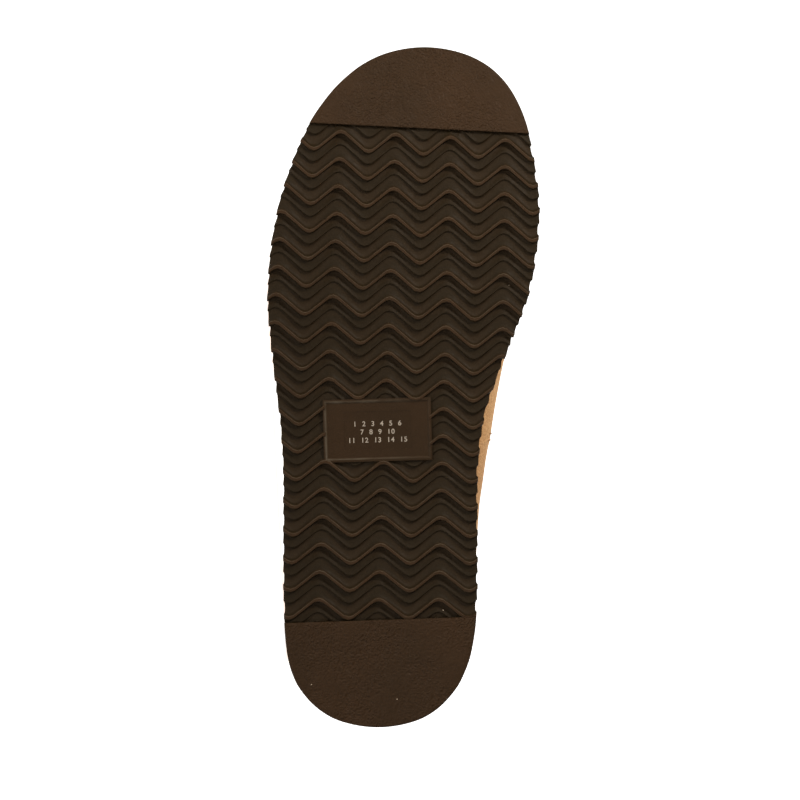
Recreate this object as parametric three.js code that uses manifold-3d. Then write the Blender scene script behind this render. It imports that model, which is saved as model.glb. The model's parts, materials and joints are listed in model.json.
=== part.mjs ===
// A sheepskin slipper for the right foot, lying on its outer side.
// Lengths are in millimetres. The slipper is worked out in shoe axes: along runs from the back of the
// heel to the tip of the toe, across is positive on the inner side of the foot, and up leaves the tread.
import * as THREE from 'three';
import { ConvexHull } from 'three/addons/math/ConvexHull.js';
import { mergeVertices } from 'three/addons/utils/BufferGeometryUtils.js';
import Module from 'manifold-3d';

const wasm = await Module();
wasm.setup();

// Driving dimensions of the last and the sole
const soleLength = 300;
const ballWidth = 118;
const heelThickness = 23;
const ballThickness = 16;
const toeSpring = 9;
const archRise = 1.8;

// Side wall of the sole, from the tread up
const treadBand = 4.5;
const treadFlare = 1.3;
const wallStep = 1.1;
const wallStepRun = 0.7;
const wallStepShare = 0.55;
const wallLean = 0.6;

// Zigzag lugs
const lugPitch = 12.05;
const lugWidth = 2;
const lugDepth = 2.6;
const lugDropRun = 0.8;
const firstLug = 261.4;
const lastLug = 56.6;
const waveSwing = 4.2;
const wavePitchToe = 23.8;
const wavePitchHeel = 26.4;
const waveShiftToe = 6.2;
const waveShiftHeel = -0.6;
const rowTiltToe = 3;
const toePadEdge = 264.5;
const toePadTilt = 2.8;
const heelPadEdge = 47.3;
const heelPadTilt = -1.9;

// Framed panel in the waist
const panelLength = 45.5;
const panelDepth = 25.4;
const panelMargin = 1.6;
const panelFrame = 1.2;
const panelSink = 0.5;
const panelAlong = 130.8;
const panelAcross = -1.3;
const panelTurn = -1.6;

// Upper
const upperWall = 2.5;
const featherInset = 5.2;
const seatGap = 0.3;
const throatSeat = 0.12;
const instepHeight = 80;
const heelHeight = 52;
const bulgeHeightHeel = 19;
const bulgeHeightToe = 13;
const heelLean = 42;
const toeLean = 38;
const vampLap = 0.9;
const vampLapRun = 1.2;

// Insole and cuff
const insoleThickness = 7;
const insoleCrown = 1.6;
const insoleGap = 0.8;
const cuffRoll = 6.4;
const cuffTurnDown = 7.5;
const lockLength = 5;
const lockRadius = 4;
const lockCount = 36;

// Typical densities, grams per cubic millimetre, for the balance on the floor
const rubber = 0.0012;
const suede = 0.0009;
const shearling = 0.0003;

// Sole outline: a row for each section. at is a share of the length, half a share of half the ball
// width, bend the middle of the section towards the inner side, a share of the ball width.
const outlineRows = [
  { at: 0, half: 0, bend: -0.01 },
  { at: 0.015, half: 0.35, bend: -0.01 },
  { at: 0.04, half: 0.515, bend: -0.01 },
  { at: 0.07, half: 0.622, bend: -0.009 },
  { at: 0.11, half: 0.688, bend: -0.005 },
  { at: 0.16, half: 0.717, bend: -0.001 },
  { at: 0.22, half: 0.727, bend: 0 },
  { at: 0.36, half: 0.728, bend: 0 },
  { at: 0.44, half: 0.756, bend: 0.004 },
  { at: 0.5, half: 0.817, bend: 0.016 },
  { at: 0.57, half: 0.907, bend: 0.041 },
  { at: 0.64, half: 0.981, bend: 0.068 },
  { at: 0.7, half: 0.998, bend: 0.087 },
  { at: 0.76, half: 0.98, bend: 0.105 },
  { at: 0.82, half: 0.919, bend: 0.12 },
  { at: 0.88, half: 0.825, bend: 0.137 },
  { at: 0.93, half: 0.688, bend: 0.153 },
  { at: 0.965, half: 0.525, bend: 0.162 },
  { at: 0.985, half: 0.362, bend: 0.164 },
  { at: 1, half: 0, bend: 0.164 },
];

// How far the upper's fullest line stands out past the sole's edge, shares of the ball width
const bulgeRows = [
  { at: 0, outer: -0.018, inner: -0.018 },
  { at: 0.2, outer: -0.02, inner: -0.008 },
  { at: 0.31, outer: -0.016, inner: 0.01 },
  { at: 0.38, outer: -0.01, inner: 0.034 },
  { at: 0.44, outer: -0.006, inner: 0.042 },
  { at: 0.5, outer: -0.003, inner: 0.026 },
  { at: 0.57, outer: -0.002, inner: -0.002 },
  { at: 0.66, outer: -0.007, inner: -0.014 },
  { at: 0.85, outer: -0.02, inner: -0.02 },
  { at: 1, outer: -0.024, inner: -0.024 },
];

// Top line of the closed last above the sole, shares of the instep height, with the roundness of its
// section and the shift of its ridge towards the inner side as a share of the ball width
const ridgeRows = [
  { at: 0, top: 0.92, round: 1.75, shift: 0 },
  { at: 0.15, top: 0.93, round: 1.75, shift: 0 },
  { at: 0.3, top: 1.02, round: 1.8, shift: 0.012 },
  { at: 0.43, top: 1.1, round: 1.9, shift: 0.03 },
  { at: 0.53, top: 1.0, round: 2.05, shift: 0.045 },
  { at: 0.62, top: 0.89, round: 2.15, shift: 0.055 },
  { at: 0.72, top: 0.765, round: 2.25, shift: 0.06 },
  { at: 0.8, top: 0.665, round: 2.35, shift: 0.05 },
  { at: 0.88, top: 0.56, round: 2.4, shift: 0.03 },
  { at: 1, top: 0.46, round: 2.4, shift: 0 },
];

// Collar edge from the back of the heel, 0, to the throat, 1, where it meets the ridge. Climb goes from
// the heel height, 0, to the ridge at the throat, 1.
const throatAt = 0.53;
const collarRows = [
  { at: 0, climb: 0.04 },
  { at: 0.11, climb: 0 },
  { at: 0.3, climb: -0.13 },
  { at: 0.51, climb: -0.13 },
  { at: 0.68, climb: 0.09 },
  { at: 0.81, climb: 0.46 },
  { at: 0.925, climb: 0.82 },
  { at: 1, climb: 1 },
];
const seamAt = 0.78 * throatAt;

// Smooth reading of one column of a table, without overshoot between its rows
function read(rows, column, at, power = 1) {
  const last = rows.length - 1;
  const x = Math.min(Math.max(at, rows[0].at), rows[last].at);
  let k = 0;
  while (k < last - 1 && x > rows[k + 1].at) k += 1;
  const value = (n) => rows[n][column] ** power;
  const slope = (n) => (value(n + 1) - value(n)) / (rows[n + 1].at - rows[n].at);
  const tangent = (n) => {
    if (n === 0) return slope(0);
    if (n === last) return slope(last - 1);
    const before = slope(n - 1);
    const after = slope(n);
    return before * after <= 0 ? 0 : (2 * before * after) / (before + after);
  };
  const run = rows[k + 1].at - rows[k].at;
  const t = (x - rows[k].at) / run;
  const rise = (2 * t ** 3 - 3 * t ** 2 + 1) * value(k) + (3 * t ** 2 - 2 * t ** 3) * value(k + 1);
  const bend = (t ** 3 - 2 * t ** 2 + t) * tangent(k) + (t ** 3 - t ** 2) * tangent(k + 1);
  return rise + run * bend;
}

const mix = (a, b, t) => a + (b - a) * t;
const clamp01 = (t) => Math.min(Math.max(t, 0), 1);
const smooth = (t) => clamp01(t) ** 2 * (3 - 2 * clamp01(t));
const radians = THREE.MathUtils.degToRad;

// Where the sole bends and thins, shares of its length
const springStart = 0.72;
const archStart = 0.22;
const archFullAt = 0.36;
const archFullTo = 0.52;
const archEnd = 0.64;
const thinFrom = 0.2;
const thinTo = 0.7;

// Height of the tread's plane and of the sole's top at a place along the shoe
const springAt = (at) => toeSpring * clamp01((at - springStart) / (1 - springStart)) ** 2;

function archAt(at) {
  const rise = smooth((at - archStart) / (archFullAt - archStart));
  return archRise * rise * smooth((archEnd - at) / (archEnd - archFullTo));
}

const treadHeight = (along) => springAt(along / soleLength) + archAt(along / soleLength);

function soleTop(along) {
  const at = along / soleLength;
  return springAt(at) + mix(heelThickness, ballThickness, smooth((at - thinFrom) / (thinTo - thinFrom)));
}

// Stations run round the shoe: from the heel along the outer side to the toe, and back along the inner
const backSteps = 15;
const frontSteps = 16;
const halfSteps = backSteps + frontSteps;
const loopSteps = 2 * halfSteps;

function shareAt(station) {
  const turned = ((station % loopSteps) + loopSteps) % loopSteps;
  const k = turned <= halfSteps ? turned : loopSteps - turned;
  if (k <= backSteps) return (throatAt * (1 - Math.cos((Math.PI * k) / backSteps))) / 2;
  return mix(throatAt, 1, Math.sin((Math.PI * (k - backSteps)) / (2 * frontSteps)));
}

function sideAt(station) {
  const turned = ((station % loopSteps) + loopSteps) % loopSteps;
  return turned <= halfSteps ? -1 : 1;
}

function outlinePoint(station) {
  const at = shareAt(station);
  const half = (Math.sqrt(Math.max(read(outlineRows, 'half', at, 2), 0)) * ballWidth) / 2;
  const bend = read(outlineRows, 'bend', at) * ballWidth;
  return new THREE.Vector2(at * soleLength, bend + sideAt(station) * half);
}

// A point of the outline moved outwards, square to it
const probe = 0.02;
function offsetOutline(station, outwards) {
  const point = outlinePoint(station);
  const tangent = outlinePoint(station + probe).sub(outlinePoint(station - probe)).normalize();
  return point.add(new THREE.Vector2(tangent.y, -tangent.x).multiplyScalar(outwards));
}

// Solids from rings of points and joins of solids
const mergeDistance = 1e-4;
function geometryOf(points, faces) {
  const geometry = new THREE.BufferGeometry();
  const places = points.flatMap((p) => [p.x, p.y, p.z]);
  geometry.setAttribute('position', new THREE.Float32BufferAttribute(places, 3));
  geometry.setIndex(faces.flat());
  return mergeVertices(geometry, mergeDistance);
}

function withoutSlivers(geometry) {
  const index = Array.from(geometry.index.array);
  const kept = [];
  for (let i = 0; i < index.length; i += 3) {
    const [a, b, c] = index.slice(i, i + 3);
    if (a !== b && b !== c && c !== a) kept.push(a, b, c);
  }
  geometry.setIndex(kept);
  return geometry;
}

// Rings of equal count, joined in order into a wall. Each quad is two triangles, along its shorter
// diagonal where the points are given.
function wallFaces(ringCount, count, closedRound = false, points = null) {
  const faces = [];
  const bands = closedRound ? ringCount : ringCount - 1;
  for (let r = 0; r < bands; r += 1) {
    const below = r * count;
    const above = ((r + 1) % ringCount) * count;
    for (let i = 0; i < count; i += 1) {
      const next = (i + 1) % count;
      const [a, b, c, d] = [below + i, above + i, above + next, below + next];
      const otherWay = points !== null
        && points[b].distanceTo(points[d]) < points[a].distanceTo(points[c]);
      faces.push(...(otherWay ? [[a, b, d], [b, c, d]] : [[a, b, c], [a, c, d]]));
    }
  }
  return faces;
}

// Strips across a ring of the shoe's stations, pairing the outer side with the inner
function capFaces(start, count, facingUp) {
  const faces = [];
  for (let i = 0; i < count / 2; i += 1) {
    const a = start + i;
    const b = start + i + 1;
    const c = start + ((count - i - 1) % count);
    const d = start + ((count - i) % count);
    const quad = facingUp ? [[a, b, c], [a, c, d]] : [[a, c, b], [a, d, c]];
    faces.push(...quad);
  }
  return faces;
}

function solidOf(geometry) {
  const vertProperties = new Float32Array(geometry.attributes.position.array);
  const triVerts = new Uint32Array(geometry.index.array);
  return new wasm.Manifold(new wasm.Mesh({ numProp: 3, vertProperties, triVerts }));
}

function geometryFrom(solid) {
  const mesh = solid.getMesh();
  const geometry = new THREE.BufferGeometry();
  geometry.setAttribute('position', new THREE.BufferAttribute(new Float32Array(mesh.vertProperties), 3));
  geometry.setIndex(new THREE.BufferAttribute(new Uint32Array(mesh.triVerts), 1));
  return geometry;
}

function joined(solids) {
  return solids.reduce((whole, solid) => whole.add(solid));
}

// Sole body: rings of its side wall from the tread's edge to the top
function soleBody() {
  const rings = [
    { share: 0, rise: 0, inset: 0 },
    { share: 0, rise: treadBand, inset: treadFlare },
    { share: wallStepShare, rise: 0, inset: treadFlare + wallLean },
    { share: wallStepShare, rise: wallStepRun, inset: treadFlare + wallLean + wallStep },
    { share: 1, rise: 0, inset: treadFlare + 2 * wallLean + wallStep },
  ];
  const points = [];
  for (const ring of rings) {
    for (let i = 0; i < loopSteps; i += 1) {
      const plan = offsetOutline(i, -ring.inset);
      const height = mix(treadHeight(plan.x), soleTop(plan.x), ring.share) + ring.rise;
      points.push(new THREE.Vector3(plan.x, plan.y, height));
    }
  }
  const faces = wallFaces(rings.length, loopSteps).map(([a, b, c]) => [a, c, b]);
  faces.push(...capFaces(0, loopSteps, false));
  faces.push(...capFaces((rings.length - 1) * loopSteps, loopSteps, true));
  return solidOf(withoutSlivers(geometryOf(points, faces)));
}

// The zigzag that every lug follows, as far as it runs towards the toe at a wave number. Its bends are
// cut flat over a share of the wave on either side.
const bendFlat = 0.1;
function waveLift(wave) {
  const fromValley = Math.abs((((wave % 1) + 1) % 1) - 0.5);
  return waveSwing * (2 * clamp01((fromValley - bendFlat) / (0.5 - 2 * bendFlat)) - 1);
}

function wavePoint(row, wave) {
  const towardsToe = (row - lastLug) / (firstLug - lastLug);
  const pitch = mix(wavePitchHeel, wavePitchToe, towardsToe);
  const across = mix(waveShiftHeel, waveShiftToe, towardsToe) + wave * pitch;
  const tilt = Math.tan(radians(mix(0, rowTiltToe, towardsToe)));
  return new THREE.Vector2(row + waveLift(wave) - across * tilt, across);
}

// One groove between two lugs: a steep drop at the toe side and a slow rise towards the next lug
const waveTurns = [-bendFlat, bendFlat, 0.5 - bendFlat, 0.5 + bendFlat];
const wavesPast = 3;
const rampFootShare = 0.62;
const rampDepthShare = 0.75;
const cutPast = 1.5;
function grooveSolid(row) {
  const width = lugPitch - lugWidth;
  const dropSlope = lugDropRun / lugDepth;
  const rampFoot = rampFootShare * width;
  const rampDepth = rampDepthShare * lugDepth;
  const rampSlope = (width - rampFoot) / rampDepth;
  const section = [
    { back: -dropSlope * cutPast, rise: -cutPast },
    { back: lugDropRun, rise: lugDepth },
    { back: rampFoot, rise: rampDepth },
    { back: width + rampSlope * cutPast, rise: -cutPast },
  ];
  const waves = [];
  for (let turn = -wavesPast; turn <= wavesPast; turn += 1) {
    waves.push(...waveTurns.map((part) => turn + part));
  }
  const start = row - lugWidth / 2;
  const points = waves.flatMap((wave) => section.map(({ back, rise }) => {
    const plan = wavePoint(start, wave);
    return new THREE.Vector3(plan.x - back, plan.y, treadHeight(plan.x - back) + rise);
  }));
  const faces = wallFaces(waves.length, section.length);
  const far = (waves.length - 1) * section.length;
  faces.push([0, 1, 2], [0, 2, 3], [far, far + 2, far + 1], [far, far + 3, far + 2]);
  return solidOf(geometryOf(points, faces));
}

function blockSolid(length, width, height, along, across, rise, turn) {
  const block = new THREE.BoxGeometry(length, width, height);
  block.rotateZ(radians(turn));
  block.translate(along, across, rise);
  block.deleteAttribute('normal');
  block.deleteAttribute('uv');
  return solidOf(mergeVertices(block));
}

// Lugs lie between the two smooth pads and leave out the panel
function treadGrooves() {
  const count = Math.round((firstLug - lastLug) / lugPitch);
  const grooves = [];
  for (let k = -1; k <= count; k += 1) grooves.push(grooveSolid(firstLug - k * lugPitch));
  const reach = 2 * ballWidth;
  const tall = 4 * heelThickness;
  const pastToe = soleLength / 2;
  const toeSide = blockSolid(pastToe, reach, tall, toePadEdge + pastToe / 2, 0, 0, toePadTilt);
  const heelSide = blockSolid(pastToe, reach, tall, heelPadEdge - pastToe / 2, 0, 0, heelPadTilt);
  const margin = 2 * panelMargin;
  const panel = blockSolid(
    panelDepth + margin, panelLength + margin, tall, panelAlong, panelAcross, 0, panelTurn,
  );
  return joined(grooves).subtract(toeSide).subtract(heelSide).subtract(panel);
}

function panelRecess() {
  const floor = treadHeight(panelAlong) + panelSink;
  const tall = 2 * heelThickness;
  const frame = 2 * panelFrame;
  return blockSolid(
    panelDepth - frame, panelLength - frame, tall, panelAlong, panelAcross, floor - tall / 2, panelTurn,
  );
}

function outsoleGeometry() {
  return geometryFrom(soleBody().subtract(treadGrooves()).subtract(panelRecess()));
}

// The line under the ridge that the upper's sections lean towards. At heel and toe it is pulled in by
// the lean, and the pull fades out smoothly over its reach.
const pullPower = 1.5;
function spineAlong(at) {
  const pull = (gap, lean) => {
    const reach = (lean * pullPower) / (pullPower - 1);
    return gap < reach ? lean + gap ** pullPower / (pullPower * reach ** (pullPower - 1)) : gap;
  };
  const fromHeel = at * soleLength;
  const fromToe = soleLength - fromHeel;
  return fromHeel < fromToe ? pull(fromHeel, heelLean) : soleLength - pull(fromToe, toeLean);
}

// Outer face of the upper. Level runs from the feather, 0, over the fullest line, 1, to the ridge, 2.
const bulgeDropFrom = 0.3;
const bulgeDropTo = 0.9;
const domeFullness = 0.98;
function upperPoint(station, level) {
  const at = shareAt(station);
  const column = sideAt(station) < 0 ? 'outer' : 'inner';
  const bulgeOut = read(bulgeRows, column, at) * ballWidth;
  const drop = smooth((at - bulgeDropFrom) / (bulgeDropTo - bulgeDropFrom));
  const bulgeRise = mix(bulgeHeightHeel, bulgeHeightToe, drop);
  if (level < 1) {
    const swell = Math.sin((level * Math.PI) / 2);
    const plan = offsetOutline(station, mix(-featherInset, bulgeOut, swell));
    return new THREE.Vector3(plan.x, plan.y, soleTop(plan.x) + seatGap + bulgeRise * level);
  }
  const plan = offsetOutline(station, bulgeOut);
  const foot = soleTop(plan.x) + seatGap + bulgeRise;
  const spine = spineAlong(at);
  const spineShare = spine / soleLength;
  const shift = read(outlineRows, 'bend', spineShare) + read(ridgeRows, 'shift', spineShare);
  const ridgeAcross = shift * ballWidth;
  const ridgeHeight = soleTop(spine) + seatGap + read(ridgeRows, 'top', spineShare) * instepHeight;
  const angle = ((level - 1) * Math.PI) / 2;
  const inwards = Math.max(Math.cos(angle), 0) ** (2 / read(ridgeRows, 'round', spineShare));
  const upwards = Math.sin(angle) ** domeFullness;
  return new THREE.Vector3(
    mix(spine, plan.x, inwards), mix(ridgeAcross, plan.y, inwards), mix(foot, ridgeHeight, upwards),
  );
}

// Level of the collar edge at a station, 2 where the last is closed
const sameShare = 1e-9;
const halvings = 40;
function collarLevel(station) {
  const at = shareAt(station);
  if (at >= throatAt - sameShare) return 2;
  const throatHeight = read(ridgeRows, 'top', throatAt) * instepHeight;
  const edge = mix(heelHeight, throatHeight, read(collarRows, 'climb', at / throatAt));
  const height = soleTop(at * soleLength) + seatGap + edge;
  let low = 1;
  let high = 2;
  for (let n = 0; n < halvings; n += 1) {
    const middle = (low + high) / 2;
    if (upperPoint(station, middle).z < height) low = middle;
    else high = middle;
  }
  return low;
}

const alongStation = (station, level) => (
  upperPoint(station + probe, level).sub(upperPoint(station - probe, level))
);

const nearRidge = 1.9;
function upperNormal(station, level) {
  const under = Math.max(level - probe, 0);
  const over = Math.min(level + probe, 2);
  const upwards = upperPoint(station, over).sub(upperPoint(station, under));
  const round = alongStation(station, Math.min(level, nearRidge));
  return new THREE.Vector3().crossVectors(round, upwards).normalize();
}

// The vamp laps over the quarters in front of the side seam
function lapAt(station) {
  return vampLap * clamp01(((shareAt(station) - seamAt) * soleLength) / vampLapRun);
}

// Stations of the upper: the shoe's own, with a close pair at each side seam
function stationOfShare(share, inner) {
  const station = (Math.acos(1 - (2 * share) / throatAt) * backSteps) / Math.PI;
  return inner ? loopSteps - station : station;
}

const seamClear = 0.35;
function upperStations() {
  const seamEnd = seamAt + vampLapRun / soleLength;
  const seams = [false, true].flatMap((inner) => (
    [stationOfShare(seamAt, inner), stationOfShare(seamEnd, inner)]
  ));
  const regular = Array.from({ length: loopSteps }, (_, k) => k);
  const kept = regular.filter((k) => seams.every((seam) => Math.abs(seam - k) > seamClear));
  return kept.concat(seams).sort((a, b) => a - b);
}

const lowerRows = 4;
const domeRows = 7;
function upperLevels(station) {
  const end = collarLevel(station);
  const levels = [];
  for (let r = 0; r < lowerRows; r += 1) levels.push(r / lowerRows);
  for (let r = 0; r <= domeRows; r += 1) levels.push(mix(1, end, r / domeRows));
  return levels;
}

// Points and normals at the ridge are shared by its two sides, so that the wall stays whole there
const closedLevel = 1.999;
function wallFrame(station, level) {
  const point = upperPoint(station, level);
  if (level < closedLevel) return { point, normal: upperNormal(station, level) };
  const outer = Math.min(station, loopSteps - station);
  const normal = upperNormal(outer, 2).add(upperNormal(loopSteps - outer, 2)).normalize();
  return { point: upperPoint(outer, 2), normal };
}

// The collar's edge runs from the throat round the heel and back. Its frame at a station: out of the
// wall, and up past the edge.
function collarFrame(station, down = 0) {
  const edgeLevel = collarLevel(station);
  const under = upperPoint(station, edgeLevel - probe);
  const rate = upperPoint(station, edgeLevel).distanceTo(under) / probe;
  const level = edgeLevel - down / rate;
  const out = upperNormal(station, level);
  const edgeAt = (k) => upperPoint(k, collarLevel(k));
  const round = edgeAt(station + probe).sub(edgeAt(station - probe)).normalize();
  const past = new THREE.Vector3().crossVectors(out, round).normalize();
  return { point: upperPoint(station, level), out, past };
}

// Past the collar edge, straight back at the throat's middle, nothing where the last is closed
function edgeDirection(station) {
  const at = shareAt(station);
  if (at > throatAt + sameShare) return new THREE.Vector3();
  if (at < throatAt - sameShare) return collarFrame(station).past;
  return collarFrame(backSteps - throatSeat).past.setY(0).normalize();
}

// The upper's wall. Grown by a clearance on all its faces and past its collar edge, the same wall is
// the room that what is turned over the collar leaves free.
function upperShell(grow = 0) {
  const stations = upperStations();
  const count = stations.length;
  const rows = lowerRows + domeRows + 1;
  const outer = [];
  const inner = [];
  const levels = stations.map(upperLevels);
  for (let r = 0; r < rows; r += 1) {
    stations.forEach((station, i) => {
      const { point, normal } = wallFrame(station, levels[i][r]);
      if (r === 0) normal.setZ(0).normalize();
      if (r === rows - 1) point.addScaledVector(edgeDirection(station), grow);
      outer.push(point.clone().addScaledVector(normal, lapAt(station) + grow));
      inner.push(point.clone().addScaledVector(normal, -upperWall - grow));
    });
  }
  const points = outer.concat(inner);
  const shift = outer.length;
  const shell = wallFaces(rows, count, false, outer);
  const faces = shell.map(([a, b, c]) => [a, c, b]);
  faces.push(...shell.map(([a, b, c]) => [a + shift, b + shift, c + shift]));
  const top = (rows - 1) * count;
  for (let i = 0; i < count; i += 1) {
    const next = (i + 1) % count;
    faces.push([i, i + shift, next + shift], [i, next + shift, next]);
    const open = Math.min(levels[i][rows - 1], levels[next][rows - 1]) < closedLevel;
    const [a, b] = [top + i, top + next];
    if (open) faces.push([a, b, b + shift], [a, b + shift, a + shift]);
  }
  return withoutSlivers(geometryOf(points, faces));
}

// Insole: a slab inside the feather line with its edges rounded over. Rise is a share of its thickness
// and inset a share of its crown.
const insoleRows = [
  { rise: 0, inset: 0.3 },
  { rise: 0.25, inset: 0 },
  { rise: 0.7, inset: 0 },
  { rise: 1, inset: 1 },
];

function insoleGeometry() {
  const inset = featherInset + upperWall + insoleGap;
  const points = [];
  for (const row of insoleRows) {
    for (let i = 0; i < loopSteps; i += 1) {
      const plan = offsetOutline(i, -inset - row.inset * insoleCrown);
      const height = soleTop(plan.x) + seatGap + row.rise * insoleThickness;
      points.push(new THREE.Vector3(plan.x, plan.y, height));
    }
  }
  const faces = wallFaces(insoleRows.length, loopSteps).map(([a, b, c]) => [a, c, b]);
  faces.push(...capFaces(0, loopSteps, false));
  faces.push(...capFaces((insoleRows.length - 1) * loopSteps, loopSteps, true));
  return withoutSlivers(geometryOf(points, faces));
}

// Section of the cuff: out of the wall's outer face and past the collar edge, shares of the roll, and
// down the wall, shares of the turn-down
const cuffRows = [
  { out: 0.3, past: -1 },
  { out: 0.66, past: -0.78 },
  { out: 0.86, past: -0.3 },
  { out: 0.8, past: 0.3 },
  { out: 0.38, past: 0.82 },
  { out: -0.25, past: 1 },
  { out: -0.85, past: 0.75 },
  { out: -1.2, past: 0.1 },
  { out: -1.2, past: -0.6 },
  { out: -0.8, past: -1.15 },
  { out: -0.2, past: -1.1 },
];

function cuffPoint(station, row) {
  const edge = collarFrame(station);
  const frame = collarFrame(station, Math.max(-row.past, 0) * cuffTurnDown);
  const out = row.out * cuffRoll + (row.out > 0 ? lapAt(station) : 0);
  const past = Math.max(row.past, 0) * cuffRoll;
  return frame.point.addScaledVector(frame.out, out).addScaledVector(edge.past, past);
}

// Stations of the collar: the upper's own, from the throat on the inner side round the heel to the
// throat on the outer side
function cuffStations() {
  const ends = [throatSeat - backSteps, backSteps - throatSeat];
  const around = upperStations().map((k) => (k > halfSteps ? k - loopSteps : k));
  return around.filter((k) => k > ends[0] && k < ends[1]).concat(ends).sort((a, b) => a - b);
}

// One lock of wool: a blunt cone that stands out of the roll and leans along it
const lockTipShare = 0.45;
const lockSides = 6;
const lockLean = 0.5;
function lockSolid(base, out, lean) {
  const lock = new THREE.CylinderGeometry(lockTipShare * lockRadius, lockRadius, lockLength, lockSides, 1);
  lock.translate(0, lockLength / 4, 0);
  lock.deleteAttribute('normal');
  lock.deleteAttribute('uv');
  const direction = out.clone().addScaledVector(lean, lockLean).normalize();
  const axis = new THREE.Vector3(0, 1, 0);
  lock.applyQuaternion(new THREE.Quaternion().setFromUnitVectors(axis, direction));
  lock.translate(base.x, base.y, base.z);
  return solidOf(mergeVertices(lock));
}

// Locks go round the collar, each a golden share of the turn over the roll's outer half on from the
// last. The roll's own middle is a little inside the wall and past its edge.
const golden = 0.381966;
const lockTurn = { from: -0.35, to: 2.1 };
const leanTurns = 7;
const rollMiddle = { out: -0.15, past: 0.12 };
const lockSeat = 0.72;
function cuffLock(k) {
  const station = mix(-backSteps, backSteps, (k + 0.5) / lockCount);
  const turn = (k * golden) % 1;
  const angle = mix(lockTurn.from, lockTurn.to, turn);
  const { point, out, past } = collarFrame(station);
  const round = new THREE.Vector3().crossVectors(out, past);
  const outwards = out.clone().multiplyScalar(Math.cos(angle)).addScaledVector(past, Math.sin(angle));
  const base = point.addScaledVector(out, rollMiddle.out * cuffRoll);
  base.addScaledVector(past, rollMiddle.past * cuffRoll).addScaledVector(outwards, lockSeat * cuffRoll);
  return lockSolid(base, outwards, round.multiplyScalar(Math.sin(leanTurns * turn + k)));
}

function cuffGeometry() {
  const points = [];
  const stations = cuffStations();
  for (const station of stations) {
    for (const row of cuffRows) points.push(cuffPoint(station, row));
  }
  const faces = wallFaces(stations.length, cuffRows.length, true, points);
  const roll = solidOf(withoutSlivers(geometryOf(points, faces)));
  const locks = Array.from({ length: lockCount }, (_, k) => cuffLock(k));
  return geometryFrom(joined([roll, ...locks]).subtract(solidOf(upperShell(seatGap))));
}

function material(color, roughness) {
  return new THREE.MeshStandardMaterial({ color, roughness, metalness: 0 });
}

function piece(name, geometry, color, roughness, density) {
  const mesh = new THREE.Mesh(geometry, material(color, roughness));
  mesh.name = name;
  mesh.userData.density = density;
  return mesh;
}

// Volume and centre of a closed mesh, from the tetrahedra that its faces make with the origin
function massOf(mesh) {
  const position = mesh.geometry.attributes.position;
  const index = mesh.geometry.index;
  const centre = new THREE.Vector3();
  let volume = 0;
  for (let i = 0; i < index.count; i += 3) {
    const [a, b, c] = [0, 1, 2].map((n) => (
      new THREE.Vector3().fromBufferAttribute(position, index.getX(i + n))
    ));
    const part = a.dot(new THREE.Vector3().crossVectors(b, c)) / 6;
    volume += part;
    centre.addScaledVector(a.clone().add(b).add(c), part / 4);
  }
  const { density } = mesh.userData;
  return { mass: volume * density, moment: centre.multiplyScalar(density) };
}

function balanceOf(meshes) {
  const parts = meshes.map(massOf);
  const mass = parts.reduce((sum, part) => sum + part.mass, 0);
  const moment = parts.reduce((sum, part) => sum.add(part.moment), new THREE.Vector3());
  return moment.divideScalar(mass);
}

// The side that the slipper lies on: the face of its hull, on the outer side, that the balance point
// stands over
function restingNormal(meshes) {
  const balance = balanceOf(meshes);
  const points = [];
  for (const mesh of meshes) {
    const position = mesh.geometry.attributes.position;
    for (let i = 0; i < position.count; i += 1) {
      points.push(new THREE.Vector3().fromBufferAttribute(position, i));
    }
  }
  const hull = new ConvexHull().setFromPoints(points);
  let best = null;
  for (const face of hull.faces) {
    const foot = balance.clone().addScaledVector(face.normal, -face.distanceToPoint(balance));
    let inside = true;
    let edge = face.edge;
    do {
      const from = edge.tail().point;
      const side = edge.head().point.clone().sub(from).cross(foot.clone().sub(from));
      inside = inside && side.dot(face.normal) >= 0;
      edge = edge.next;
    } while (edge !== face.edge);
    if (inside && (best === null || face.normal.y < best.y)) best = face.normal;
  }
  return best.clone();
}

// The toe points along -X, the inner side is up, and the sole faces -Y
function layDown(meshes) {
  const up = restingNormal(meshes).negate();
  const toe = new THREE.Vector3(1, 0, 0);
  const backwards = toe.addScaledVector(up, -toe.dot(up)).normalize().negate();
  const across = new THREE.Vector3().crossVectors(up, backwards);
  const turned = new THREE.Matrix4().makeBasis(backwards, across, up).transpose();
  const shoe = new THREE.Group();
  shoe.add(...meshes);
  shoe.setRotationFromMatrix(turned);
  shoe.updateMatrixWorld(true);
  const box = new THREE.Box3().setFromObject(shoe, true);
  const centre = box.getCenter(new THREE.Vector3());
  shoe.position.set(-centre.x, -centre.y, -box.min.z);
  return shoe;
}

const slipper = new THREE.Group();
slipper.add(layDown([
  piece('outsole', outsoleGeometry(), 0x32261a, 0.8, rubber),
  piece('insole', insoleGeometry(), 0xe6d5b8, 0.95, shearling),
  piece('upper', upperShell(), 0xc8935f, 0.9, suede),
  piece('wool_cuff', cuffGeometry(), 0xe9dabf, 0.95, shearling),
]));

export default slipper;
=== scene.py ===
"""Sheepskin slipper on its side: moulded zigzag sole, suede upper, wool cuff, lining and footbed."""

import json
import logging
import math
from dataclasses import dataclass, field
from enum import Enum
from typing import Any, Optional, Sequence

import bmesh
import bpy
import numpy as np
from mathutils import Matrix, Vector
from mathutils.kdtree import KDTree
from mathutils.noise import noise, voronoi


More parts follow.
